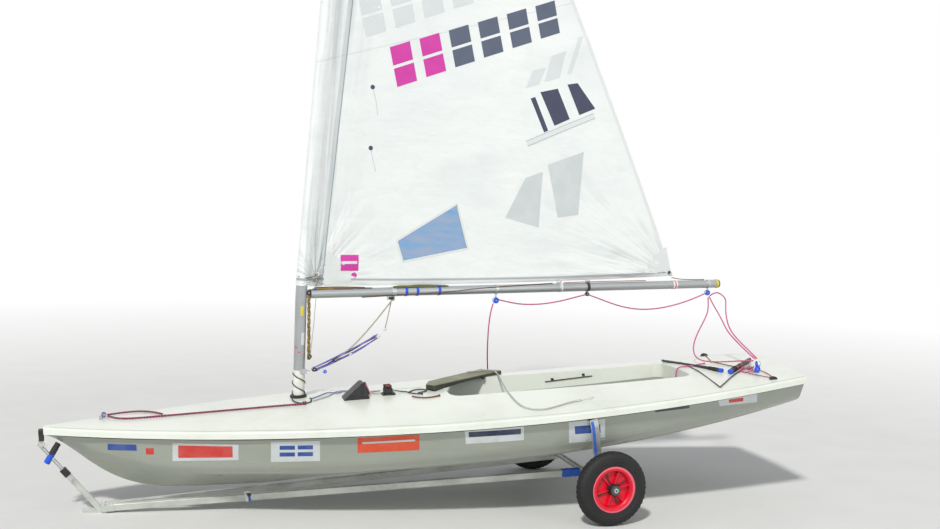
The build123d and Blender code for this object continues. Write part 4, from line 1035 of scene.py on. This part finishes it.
for name, along, drop, radius, strap, cheek, wheel, slot in (
        ("boom_end_block", 2670, 56, 0.017, steel, blue_fitting, white_plastic, "blue_fitting"),
        ("boom_middle_strap", 1804, 44, 0.012, black_fitting, black_fitting, black_fitting, "black_fitting"),
        ("boom_forward_block", 1192, 66, 0.018, steel, blue_fitting, white_plastic, "blue_fitting")):
    block = Form()
    block.band(by_boom(along), boom_way, 0.0095, 0.0257, 0.0272, strap, 48)
    pulley(block, by_boom(along, drop), boom_side, radius, cheek, wheel)
    block_top = drop - radius * 700
    block.block(by_boom(along, (block_top + BOOM_RADIUS) / 2), (boom_way, boom_up),
                (0.009, (block_top - BOOM_RADIUS) / 1000 + 0.004, 0.011), strap, 0.0015)
    block.turn(by_boom(along, 29, 7), boom_side, [(-0.014, 0.0035), (0.0, 0.0035)], steel, 12)
    block.done(name + "_trim", "rig", slot, replaced=[name])

# Boom: taped and tied places. Each band: along the boom, half its width, finish
bands = Form()
for along, half, finish in ((620, 8, blue_fitting), (688, 8, blue_fitting), (825, 8, blue_fitting),
                            (1611, 7, steel), (1622, 5, white_plastic), (2411, 5, white_plastic),
                            (2420, 4, pink_ring), (2430, 5, white_plastic), (2733, 7, decals["yellow"])):
    bands.band(by_boom(along), boom_way, half / 1000, BAND_INNER, BAND_OUTER, finish)
for along in (1611, 1806):
    bands.block(by_boom(along, -33), (boom_way, boom_up), (0.030, 0.015, 0.010), steel)
bands.ring(by_boom(1622, -42), boom_side, 0.008, 0.0022, white_plastic, 20)
bands.band(by_boom(545), boom_way, 0.012, 0.0256, 0.0275, steel)
bands.block(by_boom(534, 36, -6), (boom_way, boom_up), (0.030, 0.014, 0.012), black_fitting)
bands.ring(by_boom(545, 42), boom_side, 0.009, 0.0025, steel, 20)
bands.done("boom_bands", "rig")

# Taut lines of the rig: finish, diameter, and places along and below the boom, and to its side
rig_lines = [
    (maroon_braid, 5, [(351, 26, -14), (620, 17, -22), (885, 7, -28), (1025, -8, -27), (1300, -20, -20),
                       (1563, -28, -8)]),
    (yellow_braid, 8, [(62, -27, -10), (150, -31, -9), (240, -29, -8), (300, -30, -6)]),
    (dark_braid, 6, [(75, -34, 1), (170, -36, 0), (270, -34, -4), (372, -29, -4)]),
    (maroon_braid, 5, [(180, -28, -12), (260, -29, -13), (330, -28, -12), (415, -26, -10)]),
    (olive_braid, 9, [(540, -28, -10), (575, -33, -8), (640, -31, -6), (700, -34, -4), (770, -33, -8),
                      (868, -29, -8)]),
    (olive_braid, 7, [(548, -25, -15), (610, -28, -14), (690, -27, -13), (760, -29, -14), (840, -30, -13),
                      (884, -27, -10)]),
    (red_braid, 5, [(1640, -30, -6), (1900, -32, -5), (2212, -31, -6)]),
    (dark_braid, 5, [(2400, -46, -2), (2440, -36, -4), (2520, -30, -4), (2640, -29, -4)]),
    (cream_braid, 8, [(548, 34, -4), (500, 90, -8), (431, 170, -10), (330, 280, -8), (240, 350, -8),
                      (201, 378, -6)]),
    (cream_braid, 6, [(538, 40, 4), (522, 120, 4), (500, 208, 2)]),
    (white_braid, 4, [(78, 12, -24), (72, 130, -20), (60, 250, -18), (52, 330, -16)]),
    (purple_braid, 8, [(452, 240, -6), (372, 284, -8), (250, 338, -8), (140, 388, -6), (72, 415, -5)]),
    (purple_braid, 8, [(456, 262, 3), (380, 306, 5), (262, 362, 6), (160, 398, 4), (80, 428, 2)]),
    (purple_braid, 8, [(440, 266, -2), (350, 326, -4), (236, 372, -3), (140, 414, -2), (68, 432, -1)]),
    (purple_braid, 7, [(462, 250, 6), (392, 282, 9), (300, 322, 9), (190, 382, 7), (90, 436, 5)]),
    (blue_braid, 6, [(436, 246, 0), (330, 318, 2), (206, 366, 2), (92, 410, 0)]),
]
lines = Form()
for finish, diameter, places in rig_lines:
    lines.tube(spline([by_boom(*place) for place in places]), diameter / 2000, finish)
for along, drop, radius, cheek in ((458, 250, 0.014, white_plastic), (78, 424, 0.013, black_fitting),
                                   (498, 214, 0.009, white_plastic), (200, 376, 0.011, black_fitting),
                                   (292, 348, 0.008, white_plastic), (142, 440, 0.010, blue_fitting)):
    pulley(lines, by_boom(along, drop), boom_side, radius, cheek)
# Twisted lines down the mast's aft side, with their blocks
column_top, column_foot = boat(1459, -6, 668), boat(1434, -10, 282)
for k, finish in enumerate((dark_braid, yellow_braid, yellow_braid)):
    strand = []
    for i in range(41):
        a = 2 * math.pi * (i / 41 * 3.0 + k / 3)
        out = AFT * math.cos(a) + STARBOARD * math.sin(a)
        strand.append(column_top.lerp(column_foot, i / 40) + out * 0.0062)
    lines.tube(strand, 0.0038, finish)
for x, z, radius in ((1457, 655, 0.013), (1440, 300, 0.012)):
    pulley(lines, boat(x, -8, z), STARBOARD, radius, black_fitting)
# The tack's tie down to the boom, and the line round the luff
tack = on_sail(0.12, 0.122) - sail_way * 0.042 + sail_port * 0.022
lines.tube([tack, by_boom(76, -34, -14)], 0.0022, white_braid)
lines.tube([by_boom(76, -34, -14), by_boom(76, -26, -16)], 0.0035, blue_braid)
lines.ring(by_boom(76, -27, -13), boom_side, 0.007, 0.0028, blue_braid, 18)
luff_tie = [(-0.031, 0.098, 0.020), (0.010, 0.090, 0.040), (0.060, 0.105, 0.034)]
lines.tube(spline([sail_place(*place) for place in luff_tie] + [tack]), 0.0022, dark_braid)
lines.done("rig_lines", "rig")


# Mast: bare labels, and a taped foot with a thin line wound on it
def low_mast(z):
    """The lower mast's middle at a boat height."""
    rise = (z - deck_height(MAST_X, 0)) / math.cos(MAST_RAKE) / 1000
    return on_deck(MAST_X, 0) + low_mast_way * rise


marks = Form()
near_side = Vector((-0.26, -0.96, 0.0))
for z, half, reach, finish in ((560, 26, (0.10, 0.62), decals["yellow"]),
                               (405, 34, (0.35, 0.95), decals["white"]),
                               (356, 5, (-0.9, -0.3), pink_ring), (330, 4, (-0.2, 0.3), pink_ring)):
    marks.band(low_mast(z), low_mast_way, half / 1000, 0.0319, 0.0322, finish, 12, reach, near_side)
marks.band(low_mast(145), low_mast_way, 0.084, 0.0318, 0.0324, white_plastic)
for first_turn in (0.0, 0.5):
    wound = []
    for i in range(49):
        a = 2 * math.pi * (first_turn + i / 48 * 1.25)
        around = Vector((math.cos(a), math.sin(a), 0))
        around = (around - low_mast_way * around.dot(low_mast_way)).normalized()
        wound.append(low_mast(212 - 140 * i / 48) + around * 0.0352)
    marks.tube(wound, 0.0030, black_braid)
marks.done("mast_marks", "rig")

# Deck: the compass's face, the tiller and its extension with their caps, and the traveller's block
compass_way = turned(84, 0, 25.2)
compass_middle = boat(1590 + 140 * 0.91, -140, deck_height(1590, -140) + 46)
bezel = [(0.0100, 0.031), (0.0145, 0.031), (0.0150, 0.034), (0.0145, 0.0378), (0.0100, 0.0378)]
compass = Form()
compass.turn(compass_middle, compass_way, [(0, 0.038), (0.010, 0.038), (0.0125, 0.0355)], black_fitting, 40)
compass.hoop(compass_middle, compass_way, bezel, pink_ring)
compass.turn(compass_middle, compass_way, [(0.0110, 0.0305), (0.0128, 0.0305)], white_plastic, 40)
compass.turn(compass_middle, compass_way, [(0.0128, 0.012), (0.0150, 0.009), (0.0156, 0.004)], blue_fitting)
compass.done("compass_face", "boat", replaced=["compass_dial"])

bars = Form()
for start, end, thick, thin in (((LENGTH - 415, -255), (LENGTH - 565, 290), 0.0118, 0.0070),
                                ((LENGTH - 395, -305), (LENGTH - 145, -62), 0.0142, 0.0125)):
    near = on_deck(*start, thick * 1000 + 2.6)
    far = on_deck(*end, thin * 1000 + 2.6)
    length = (far - near).length
    way = (far - near).normalized()
    profile = [(0.026, thick * 0.96), (0.03, thick)]
    profile += [(length * s, thick + (thin - thick) * s) for s in (0.25, 0.5, 0.75)]
    profile += [(length - 0.004, thin), (length, thin * 0.8)]
    bars.turn(near, way, profile, bar_black)
    bars.turn(near, way, [(0.0, thick * 0.6), (0.003, thick), (0.026, thick)], blue_fitting)
    for k in range(7):
        bars.band(near + way * (0.052 + 0.011 * k), way, 0.002, thick * 0.9, thick * 1.04, rubber, 24)
# Two red bands on the second bar, the tiller
for along in (0.106, 0.176):
    bars.band(near + way * along, way, 0.006, 0.0135, 0.0148, decals["red"], 24)
bars.done("tiller_bars", "boat", replaced=["tiller", "tiller_extension"])

traveller = Form()
block_height = deck_height(3995, -330)
pulley(traveller, boat(3995, -330, block_height + 23), STARBOARD, 0.020, blue_fitting, gap=0.0075)
pulley(traveller, boat(4003, -330, block_height + 53), AFT, 0.017, blue_fitting, gap=0.0065)
traveller.block(boat(3999, -330, block_height + 38), (AFT, STARBOARD), (0.012, 0.012, 0.016), steel)
traveller.tube([on_deck(3992, -312, 9), on_deck(3880, 40, 7), on_deck(4028, 462, 8)], 0.003, dark_braid)
for route in ([(4008, -322, 16), (4035, -343, 8), (4035, -418, 7), (4030, -464, 8)],
              [(3925, -320, 8), (3955, -367, 7), (3990, -430, 7), (4024, -468, 8)]):
    traveller.tube(spline([on_deck(*place) for place in route]), 0.003, red_braid)
traveller.done("traveller_trim", "boat", replaced=["traveller_block"])

# Free lines: name, finish, diameter, far end, how it lies, and places with their height over what is
# below them, or, where a 1 follows, their height in the boat's frame
deck_cords = [
    ("board_cord", white_braid, 9, "fitting", "loose",
     [(2428, 337, 68, 1), (2460, 342, 66, 1), (2496, 358, 64, 1), (2550, 384, 60, 1), (2590, 380, 58, 1),
      (2602, 330, 56, 1), (2588, 230, 55, 1), (2567, 110, 52, 1), (2543, -20, 48, 1), (2519, -150, 46, 1),
      (2501, -250, 45, 1), (2494, -320, 6), (2486, -455, 6), (2500, -570, 6), (2578, -624, 6),
      (2672, -594, 6), (2790, -538, 6), (2830, -532, 6)]),
    ("sheet_bundle", magenta_braid, 8, "object", "coiled",
     [(3992, -302, 10), (4010, -268, 8), (3984, -238, 7), (3940, -252, 7), (3916, -288, 7), (3938, -322, 8),
      (3985, -326, 14), (4014, -292, 17), (4000, -252, 17), (3958, -240, 17), (3926, -262, 16),
      (3900, -296, 8)]),
    ("sheet_tail", magenta_braid, 8, "knot", "loose",
     [(3830, 20, 7), (3790, 6, 7), (3730, -14, 7), (3680, -22, 7), (3640, -28, 43, 1), (3617, -34, 26, 1),
      (3608, -38, -40, 1), (3600, -44, -110, 1), (3590, -52, -160, 1), (3562, -64, -184, 1),
      (3500, -84, -187, 1), (3420, -112, -187, 1), (3340, -150, -187, 1), (3260, -140, -187, 1)]),
    ("mast_line_blue", blue_braid, 6, "object", "loose",
     [(1420, -100, 5), (1467, -56, 5), (1512, 10, 5), (1548, 40, 5), (1585, -20, 5), (1620, 40, 5),
      (1650, -8, 5), (1760, -70, 6), (1812, -88, 14)]),
    ("mast_line_white", white_braid, 7, "object", "loose",
     [(1425, -150, 5), (1484, -102, 5), (1532, -60, 5), (1560, 6, 5), (1600, 58, 5), (1660, 52, 5),
      (1720, -20, 5), (1790, -120, 6), (1812, -130, 14)]),
    ("cleat_line", black_braid, 7, "knot", "loose",
     [(1886, -112, 16), (1925, -100, 6), (1955, -112, 5), (1972, -150, 5), (1990, -175, 5), (2030, -190, 5)]),
    ("board_loop", black_braid, 8, "object", "loose",
     [(1960, -140, 5), (1990, -90, 5), (2040, -72, 5), (2075, -100, 5), (2062, -140, 5), (2010, -160, 5)]),
    ("board_line", maroon_braid, 8, "knot", "loose",
     [(1962, -225, 5), (1990, -258, 5), (2030, -272, 5), (2072, -266, 5), (2112, -250, 5)]),
    ("mast_foot_loop", black_braid, 8, "object", "loose",
     [(1322, -54, 6), (1318, -110, 5), (1345, -170, 5), (1390, -182, 5), (1424, -140, 5), (1418, -78, 6)]),
]
# The hook on the board's cord: along the cord's end, and up
hook = ((0.008, 0.0), (0.03, 0.002), (0.055, 0.006), (0.078, 0.008), (0.090, 0.004), (0.080, -0.002),
        (0.062, -0.002))


def cord_hook(form, line):
    along = (line[-1] - line[-3]).normalized()
    ferrule = [(0, 0.005), (0.002, 0.0062), (0.018, 0.0062), (0.022, 0.004)]
    form.turn(line[-1] - along * 0.012, along, ferrule, steel, 16)
    form.tube(spline([line[-1] + along * s + turned(0, 0, h) for s, h in hook]), 0.0022, steel)


for name, finish, diameter, far_end, lay, places in deck_cords:
    route = [boat(*place[:3]) if len(place) == 4 else over(*place) for place in places]
    cord_knot = knot(finish, diameter * 0.00055, diameter * 0.00040)
    tip = {"knot": cord_knot, "fitting": cord_hook}.get(far_end)
    free_cord(name, ["boat"], route, diameter / 1000, finish, far_end, lay, tip=tip)

# Falls of the sheet between the boom's blocks and the boat
falls = {
    "sheet_fall_front": [(4051, 417, 389), (4040, 334, 344), (4023, 190, 280), (3998, 58, 218),
                         (3994, -70, 174), (3992, -218, 128), (3996, -314, 100)],
    "sheet_fall_back": [(4058, 420, 392), (4078, 385, 418), (4097, 341, 410), (4099, 272, 383),
                        (4066, 212, 343), (4028, 127, 288), (4002, 27, 228), (4000, -95, 178),
                        (4004, -223, 135), (4006, -316, 102)],
    "sheet_loop": [(4044, 418, 383), (4019, 353, 318), (3952, 286, 256), (3869, 213, 190), (3811, 146, 130),
                   (3789, 86, 84), (3800, 27, 60), (3838, -48, 58), (3893, -157, 70), (3940, -252, 86),
                   (3982, -318, 92)],
    "sheet_lead": [(2570, 192, 486), (2554, 198, 441), (2542, 208, 364), (2536, 226, 278), (2540, 262, 201),
                   (2554, 325, 130), (2574, 400, 78), (2590, 462, 62), (2606, 512, 46), (2610, 552, 20),
                   (2600, 590, 15)],
}
for name, places in falls.items():
    free_cord(name, ["rig", "boat"], [boat(*place) for place in places], SHEET_DIAMETER, magenta_braid,
              "object", "hanging", "rope", sides=10)

# Deck trim: a dark strip under the gunwale, partly the sealed joint and partly painted shade of the gunwale's
# overhang, and a grey strip of painted shade in the groove along the deck's edge
JOINT_DROPS, GROOVE_INSETS = (47.5, 39.5), (14, 17.2)
for side, word in SIDES:
    trim = Form()
    joint = []
    edge = []
    for x in even(30, 4226, 120):
        joint.append([on_hull(x, sheer(x) - drop, side, 0.7) for drop in JOINT_DROPS])
        edge.append([over(x, side * (deck_row(x)[0] - inset), 0.5) for inset in GROOVE_INSETS])
    trim.skin(joint, joint_and_shade_black)
    trim.skin(edge, groove_shade_grey)
    trim.done("gunwale_lines_" + word, "boat", recalc=False)


def wall(x, z, side, lift):
    """Place on the cockpit's side wall."""
    return boat_surface.ray_cast(boat(x, 0, z), STARBOARD * side)[0] - STARBOARD * (side * lift / 1000)


# A rail in the cockpit, the bar on the aft deck, cleat rings, the board's bolt, the mast's collar
# and the painter's lashing
details = Form()
for side in (-1, 1):
    rail = [wall(x, z, side, 6) for x, z in ((2885, -20), (2980, -17), (3080, -14), (3186, -11))]
    details.tube(rail, 0.0026, bar_black)
    for x, z in ((2932, -9), (3130, 1)):
        details.block(wall(x, z, side, 4), (AFT, UP), (0.016, 0.012, 0.009), black_fitting)
bent_bar = [on_deck(*place) for place in ((3726, 157, 6), (3698, -180, 5.5), (3669, -528, 5),
                                          (3820, -365, 5.5), (3981, -200, 6))]
for half in (bent_bar[:3], bent_bar[2:]):
    details.tube(half, 0.0034, bar_black)
boat_up = turned(0, 0, 1)
for x, y in ((1850, -91), (1850, -129)):
    for reach in (-30, 30):
        details.turn(on_deck(x + reach, y, 4), boat_up, [(0, 0.0042), (0.002, 0.0034)], steel, 12)
    details.ring(on_deck(x + 30, y, 20), turned(1, 0, 0), 0.008, 0.0022, steel, 20)
    details.block(on_deck(x, y, 50), (turned(1, 0, 0), STARBOARD), (0.020, 0.010, 0.008), decals["red"])
board_side = Vector((0.70, -0.71, 0.04))
collar = [(-0.002, 0.0352), (0.002, 0.0352), (0.0035, 0.038), (0.002, 0.0455), (-0.002, 0.0455)]
bolt = [(-0.002, 0.015), (0.004, 0.015), (0.008, 0.010)]
details.turn(boat(2498, 236, 46), board_side, bolt, black_fitting, 20)
details.hoop(on_deck(MAST_X, 0) + boat_up * 0.013, boat_up, collar, black_fitting)
for k in (-1, 0, 1):
    details.ring(on_deck(315, 0, 22.5 + 2.5 * k) + STARBOARD * (0.003 * k), Vector((0.2 * k, 1, 0)),
                 0.010, 0.0036, blue_braid, 20)
details.done("deck_details", "boat")

# Hull: bare panels where the photograph shows them, both sides alike: finish, lift, corners
PANEL_STEP = 22
hull_panels = [
    ("blue", 0.5, ((324, -46), (470, -52), (470, -88), (322, -83))),
    ("red", 0.5, ((516, -74), (556, -75), (556, -112), (516, -111))),
    ("white", 0.5, ((652, -47), (983, -67), (982, -158), (648, -153))),
    ("red", 0.9, ((680, -62), (953, -76), (953, -141), (678, -135))),
    ("white", 0.5, ((1146, -59), (1395, -70), (1397, -188), (1146, -178))),
    *[("blue", 0.9, ((x, z), (x + 78, z - 4), (x + 78, z - 28), (x, z - 24)))
      for x, z in ((1190, -84), (1282, -88), (1190, -124), (1282, -128))],
    ("orange", 0.5, ((1587, -66), (1905, -69), (1910, -160), (1589, -154))),
    ("white", 0.9, ((1612, -92), (1884, -95), (1886, -106), (1613, -102))),
    ("white", 0.5, ((2143, -63.5), (2464, -70), (2471, -154), (2155, -146))),
    ("navy", 0.9, ((2165, -76), (2448, -84), (2450, -116), (2168, -107))),
    ("white", 0.5, ((2716, -74), (2926, -81), (2945, -212), (2731, -202))),
    ("blue", 0.9, ((2752, -104), (2900, -110), (2910, -160), (2760, -152))),
    ("slate", 0.5, ((3222, -66), (3440, -67), (3448, -83), (3229, -79))),
    ("white", 0.5, ((3626, -58), (3893, -58), (3908, -113), (3650, -100))),
    ("red", 0.9, ((3700, -66), (3800, -68), (3806, -92), (3708, -88))),
]
for side, word in SIDES:
    panels = Form()
    for tone, lift, corners in hull_panels:
        across = max(3, round(math.dist(*corners[:2]) / PANEL_STEP))
        down = max(2, round(math.dist(*corners[1:3]) / PANEL_STEP))
        panels.patch(corners, across, down, lambda x, z: on_hull(x, z, side, lift), decals[tone])
    panels.done("hull_panels_" + word, "boat", recalc=False)

# Trolley: a strap and bolts on each upright, a clip and a strap round the near beam, the front
# bracket's bolts, the post's pin with its ring, and the rings at the bow
STRAP_AHEAD = 0.011
BOLT_HEAD = [(0, 0.010), (0.0015, 0.010), (0.0016, 0.0075), (0.006, 0.0075)]
upright_low = Vector((WHEEL_MIDDLE.x, 0, WHEEL_MIDDLE.z))
upright_high = boat(2850, 0, sheer(2850) - 38)
rise_way = (upright_high - upright_low).normalized()
trolley = Form()
for side, word in SIDES:
    outward = STARBOARD * side
    hanger = solid("hanger_" + word)
    strap = []
    for height in even(0.022, 0.408, 26):
        inside = upright_low + rise_way * height - AFT * STRAP_AHEAD
        spot = hanger.ray_cast(inside + outward, -outward)[0]
        if spot:
            strap.append(spot + outward * 0.0012)
    trolley.skin([[spot + across * a + top * b for a, b in
                   ((-0.008, -0.0009), (0.008, -0.0009), (0.008, 0.0009), (-0.008, 0.0009))]
                  for spot, (across, top) in zip(strap, frames(strap, outward))], blue_webbing, True, True)
    for height in (0.040, 0.150):
        bolt = upright_low + Vector((0.010, side * 0.609, 0)) + rise_way * height
        trolley.turn(bolt, outward, BOLT_HEAD, steel, 6)
beam_front = Vector((345 - BOW_TO_ORIGIN, -24, 27)) / 1000
beam_back = Vector((WHEEL_MIDDLE.x, -0.220, WHEEL_MIDDLE.z - 0.014))


def on_beam(x):
    """The near beam's middle where it passes a part-frame x."""
    return beam_front.lerp(beam_back, (x - beam_front.x) / (beam_back.x - beam_front.x))


beam_way = (on_beam(0.5) - on_beam(-0.5)).normalized()
for x, length, girth, finish in ((-1.045, 0.016, 0.0415, white_plastic),
                                 (-1.030, 0.012, 0.0415, blue_fitting),
                                 (0.742, 0.030, 0.0405, blue_webbing), (0.766, 0.030, 0.0420, blue_webbing),
                                 (0.792, 0.030, 0.0408, blue_webbing), (0.816, 0.036, 0.0426, blue_webbing)):
    lean = UP * (0.105 * math.sin(40 * x))
    trolley.block(on_beam(x), (beam_way + lean, UP), (length, girth, girth), finish, 0.0015)
clip = on_beam(-1.038)
trolley.ring(clip + Vector((-0.004, -0.012, 0.017)), Vector((0.25, 1, 0.1)), 0.0155, 0.0052, white_plastic,
             ends=10)
trolley.block(clip + Vector((0.004, -0.014, 0.016)), (Vector((1, 0.3, 0.4)), Vector((-0.4, 0, 1))),
              (0.024, 0.020, 0.018), decals["navy"], 0.004)
low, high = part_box("front_bracket")
for x in (low[0] + 0.018, high[0] - 0.018):
    for y in (-0.034, 0.034):
        trolley.turn(Vector((x, y, high[2])), UP,
                     [(-0.002, 0.009), (0.0015, 0.009), (0.0016, 0.0065), (0.0065, 0.0065)], steel, 6)
post_foot, post_top = [Vector((x - BOW_TO_ORIGIN, 0, z)) / 1000 for x, z in ((296, 12), (-27, 378))]
pin = post_foot + (post_top - post_foot).normalized() * 0.225
trolley.turn(pin - STARBOARD * 0.024, STARBOARD, [(0, 0.0045), (0.048, 0.0045)], steel, 12)
trolley.ring(pin - Vector((0, 0.027, 0.010)), Vector((1, 0.2, 0)), 0.011, 0.0016, steel, ends=6)
trolley.ring(boat(6, -33, -36), Vector((0.3, 1, 0.1)), 0.011, 0.0028, white_plastic)
trolley.ring(boat(4, -32, -54), Vector((1, 0.2, 0.1)), 0.010, 0.0026, steel)
trolley.done("trolley_trim", "boat")

# Stage: a pale floor that fades out, white behind, soft light
FLOOR_RADIUS, FADE_START, FADE_END = 60.0, 4.0, 11.0
floor_mesh = bmesh.new()
bmesh.ops.create_circle(floor_mesh, cap_ends=True, radius=FLOOR_RADIUS, segments=96)
floor_data = bpy.data.meshes.new("floor")
floor_mesh.to_mesh(floor_data)
floor_mesh.free()
floor = bpy.data.objects.new("floor", floor_data)
scene.collection.objects.link(floor)
ground = Finish("floor", "#e6e6e4", 0.75)
ground.paint(ground.noise(3.0), "#dcdcda")
where = ground.node("ShaderNodeNewGeometry", {}, "Position")
reach = ground.node("ShaderNodeVectorMath", {0: where}, "Value", operation="LENGTH")
clear = ground.node("ShaderNodeEmission", {"Color": (1, 1, 1, 1), "Strength": 1.0}, 0)
lit = Value(ground, ground.shader.outputs[0])
faded = ground.blend_shaders(ground.ramp(reach, FADE_START, FADE_END), lit, clear)
ground.feed(ground.tree.nodes["Material Output"].inputs["Surface"], faded)
floor_data.materials.append(ground.material)

scene.world = bpy.data.worlds.new("studio")
scene.world.use_nodes = True
sky = Nodes(scene.world.node_tree)
soft = sky.tree.nodes["Background"]
soft.inputs["Color"].default_value = (0.93, 0.96, 1.0, 1.0)
soft.inputs["Strength"].default_value = 0.38
white = sky.node("ShaderNodeBackground", {"Color": (1.0, 1.0, 1.0, 1.0)}, 0)
camera_ray, passed_ray, glossy_ray = sky.outputs("ShaderNodeLightPath", {}, [
    "Is Camera Ray", "Is Transmission Ray", "Is Glossy Ray"])
seen = sky.maths("MAXIMUM", camera_ray, sky.maths("MAXIMUM", passed_ray, glossy_ray))
backdrop = sky.blend_shaders(seen, Value(sky, soft.outputs[0]), white)
sky.feed(sky.tree.nodes["World Output"].inputs["Surface"], backdrop)


def lamp(name, kind, place, energy, colour):
    """A lamp that looks at the boat's middle."""
    data = bpy.data.lights.new(name, kind)
    data.energy = energy
    data.color = colour
    made = bpy.data.objects.new(name, data)
    scene.collection.objects.link(made)
    made.location = place
    made.rotation_euler = (UP - Vector(place)).to_track_quat("-Z", "Y").to_euler()
    return data


lamp("key", "SUN", (-3.5, -6.0, 7.5), 2.55, (1.0, 0.99, 0.96)).angle = math.radians(5.0)
fill = lamp("fill", "AREA", (4.0, -7.0, 3.5), 50.0, (0.92, 0.96, 1.0))
fill.shape = "DISK"
fill.size = 4.0
scene.view_settings.view_transform = "Standard"
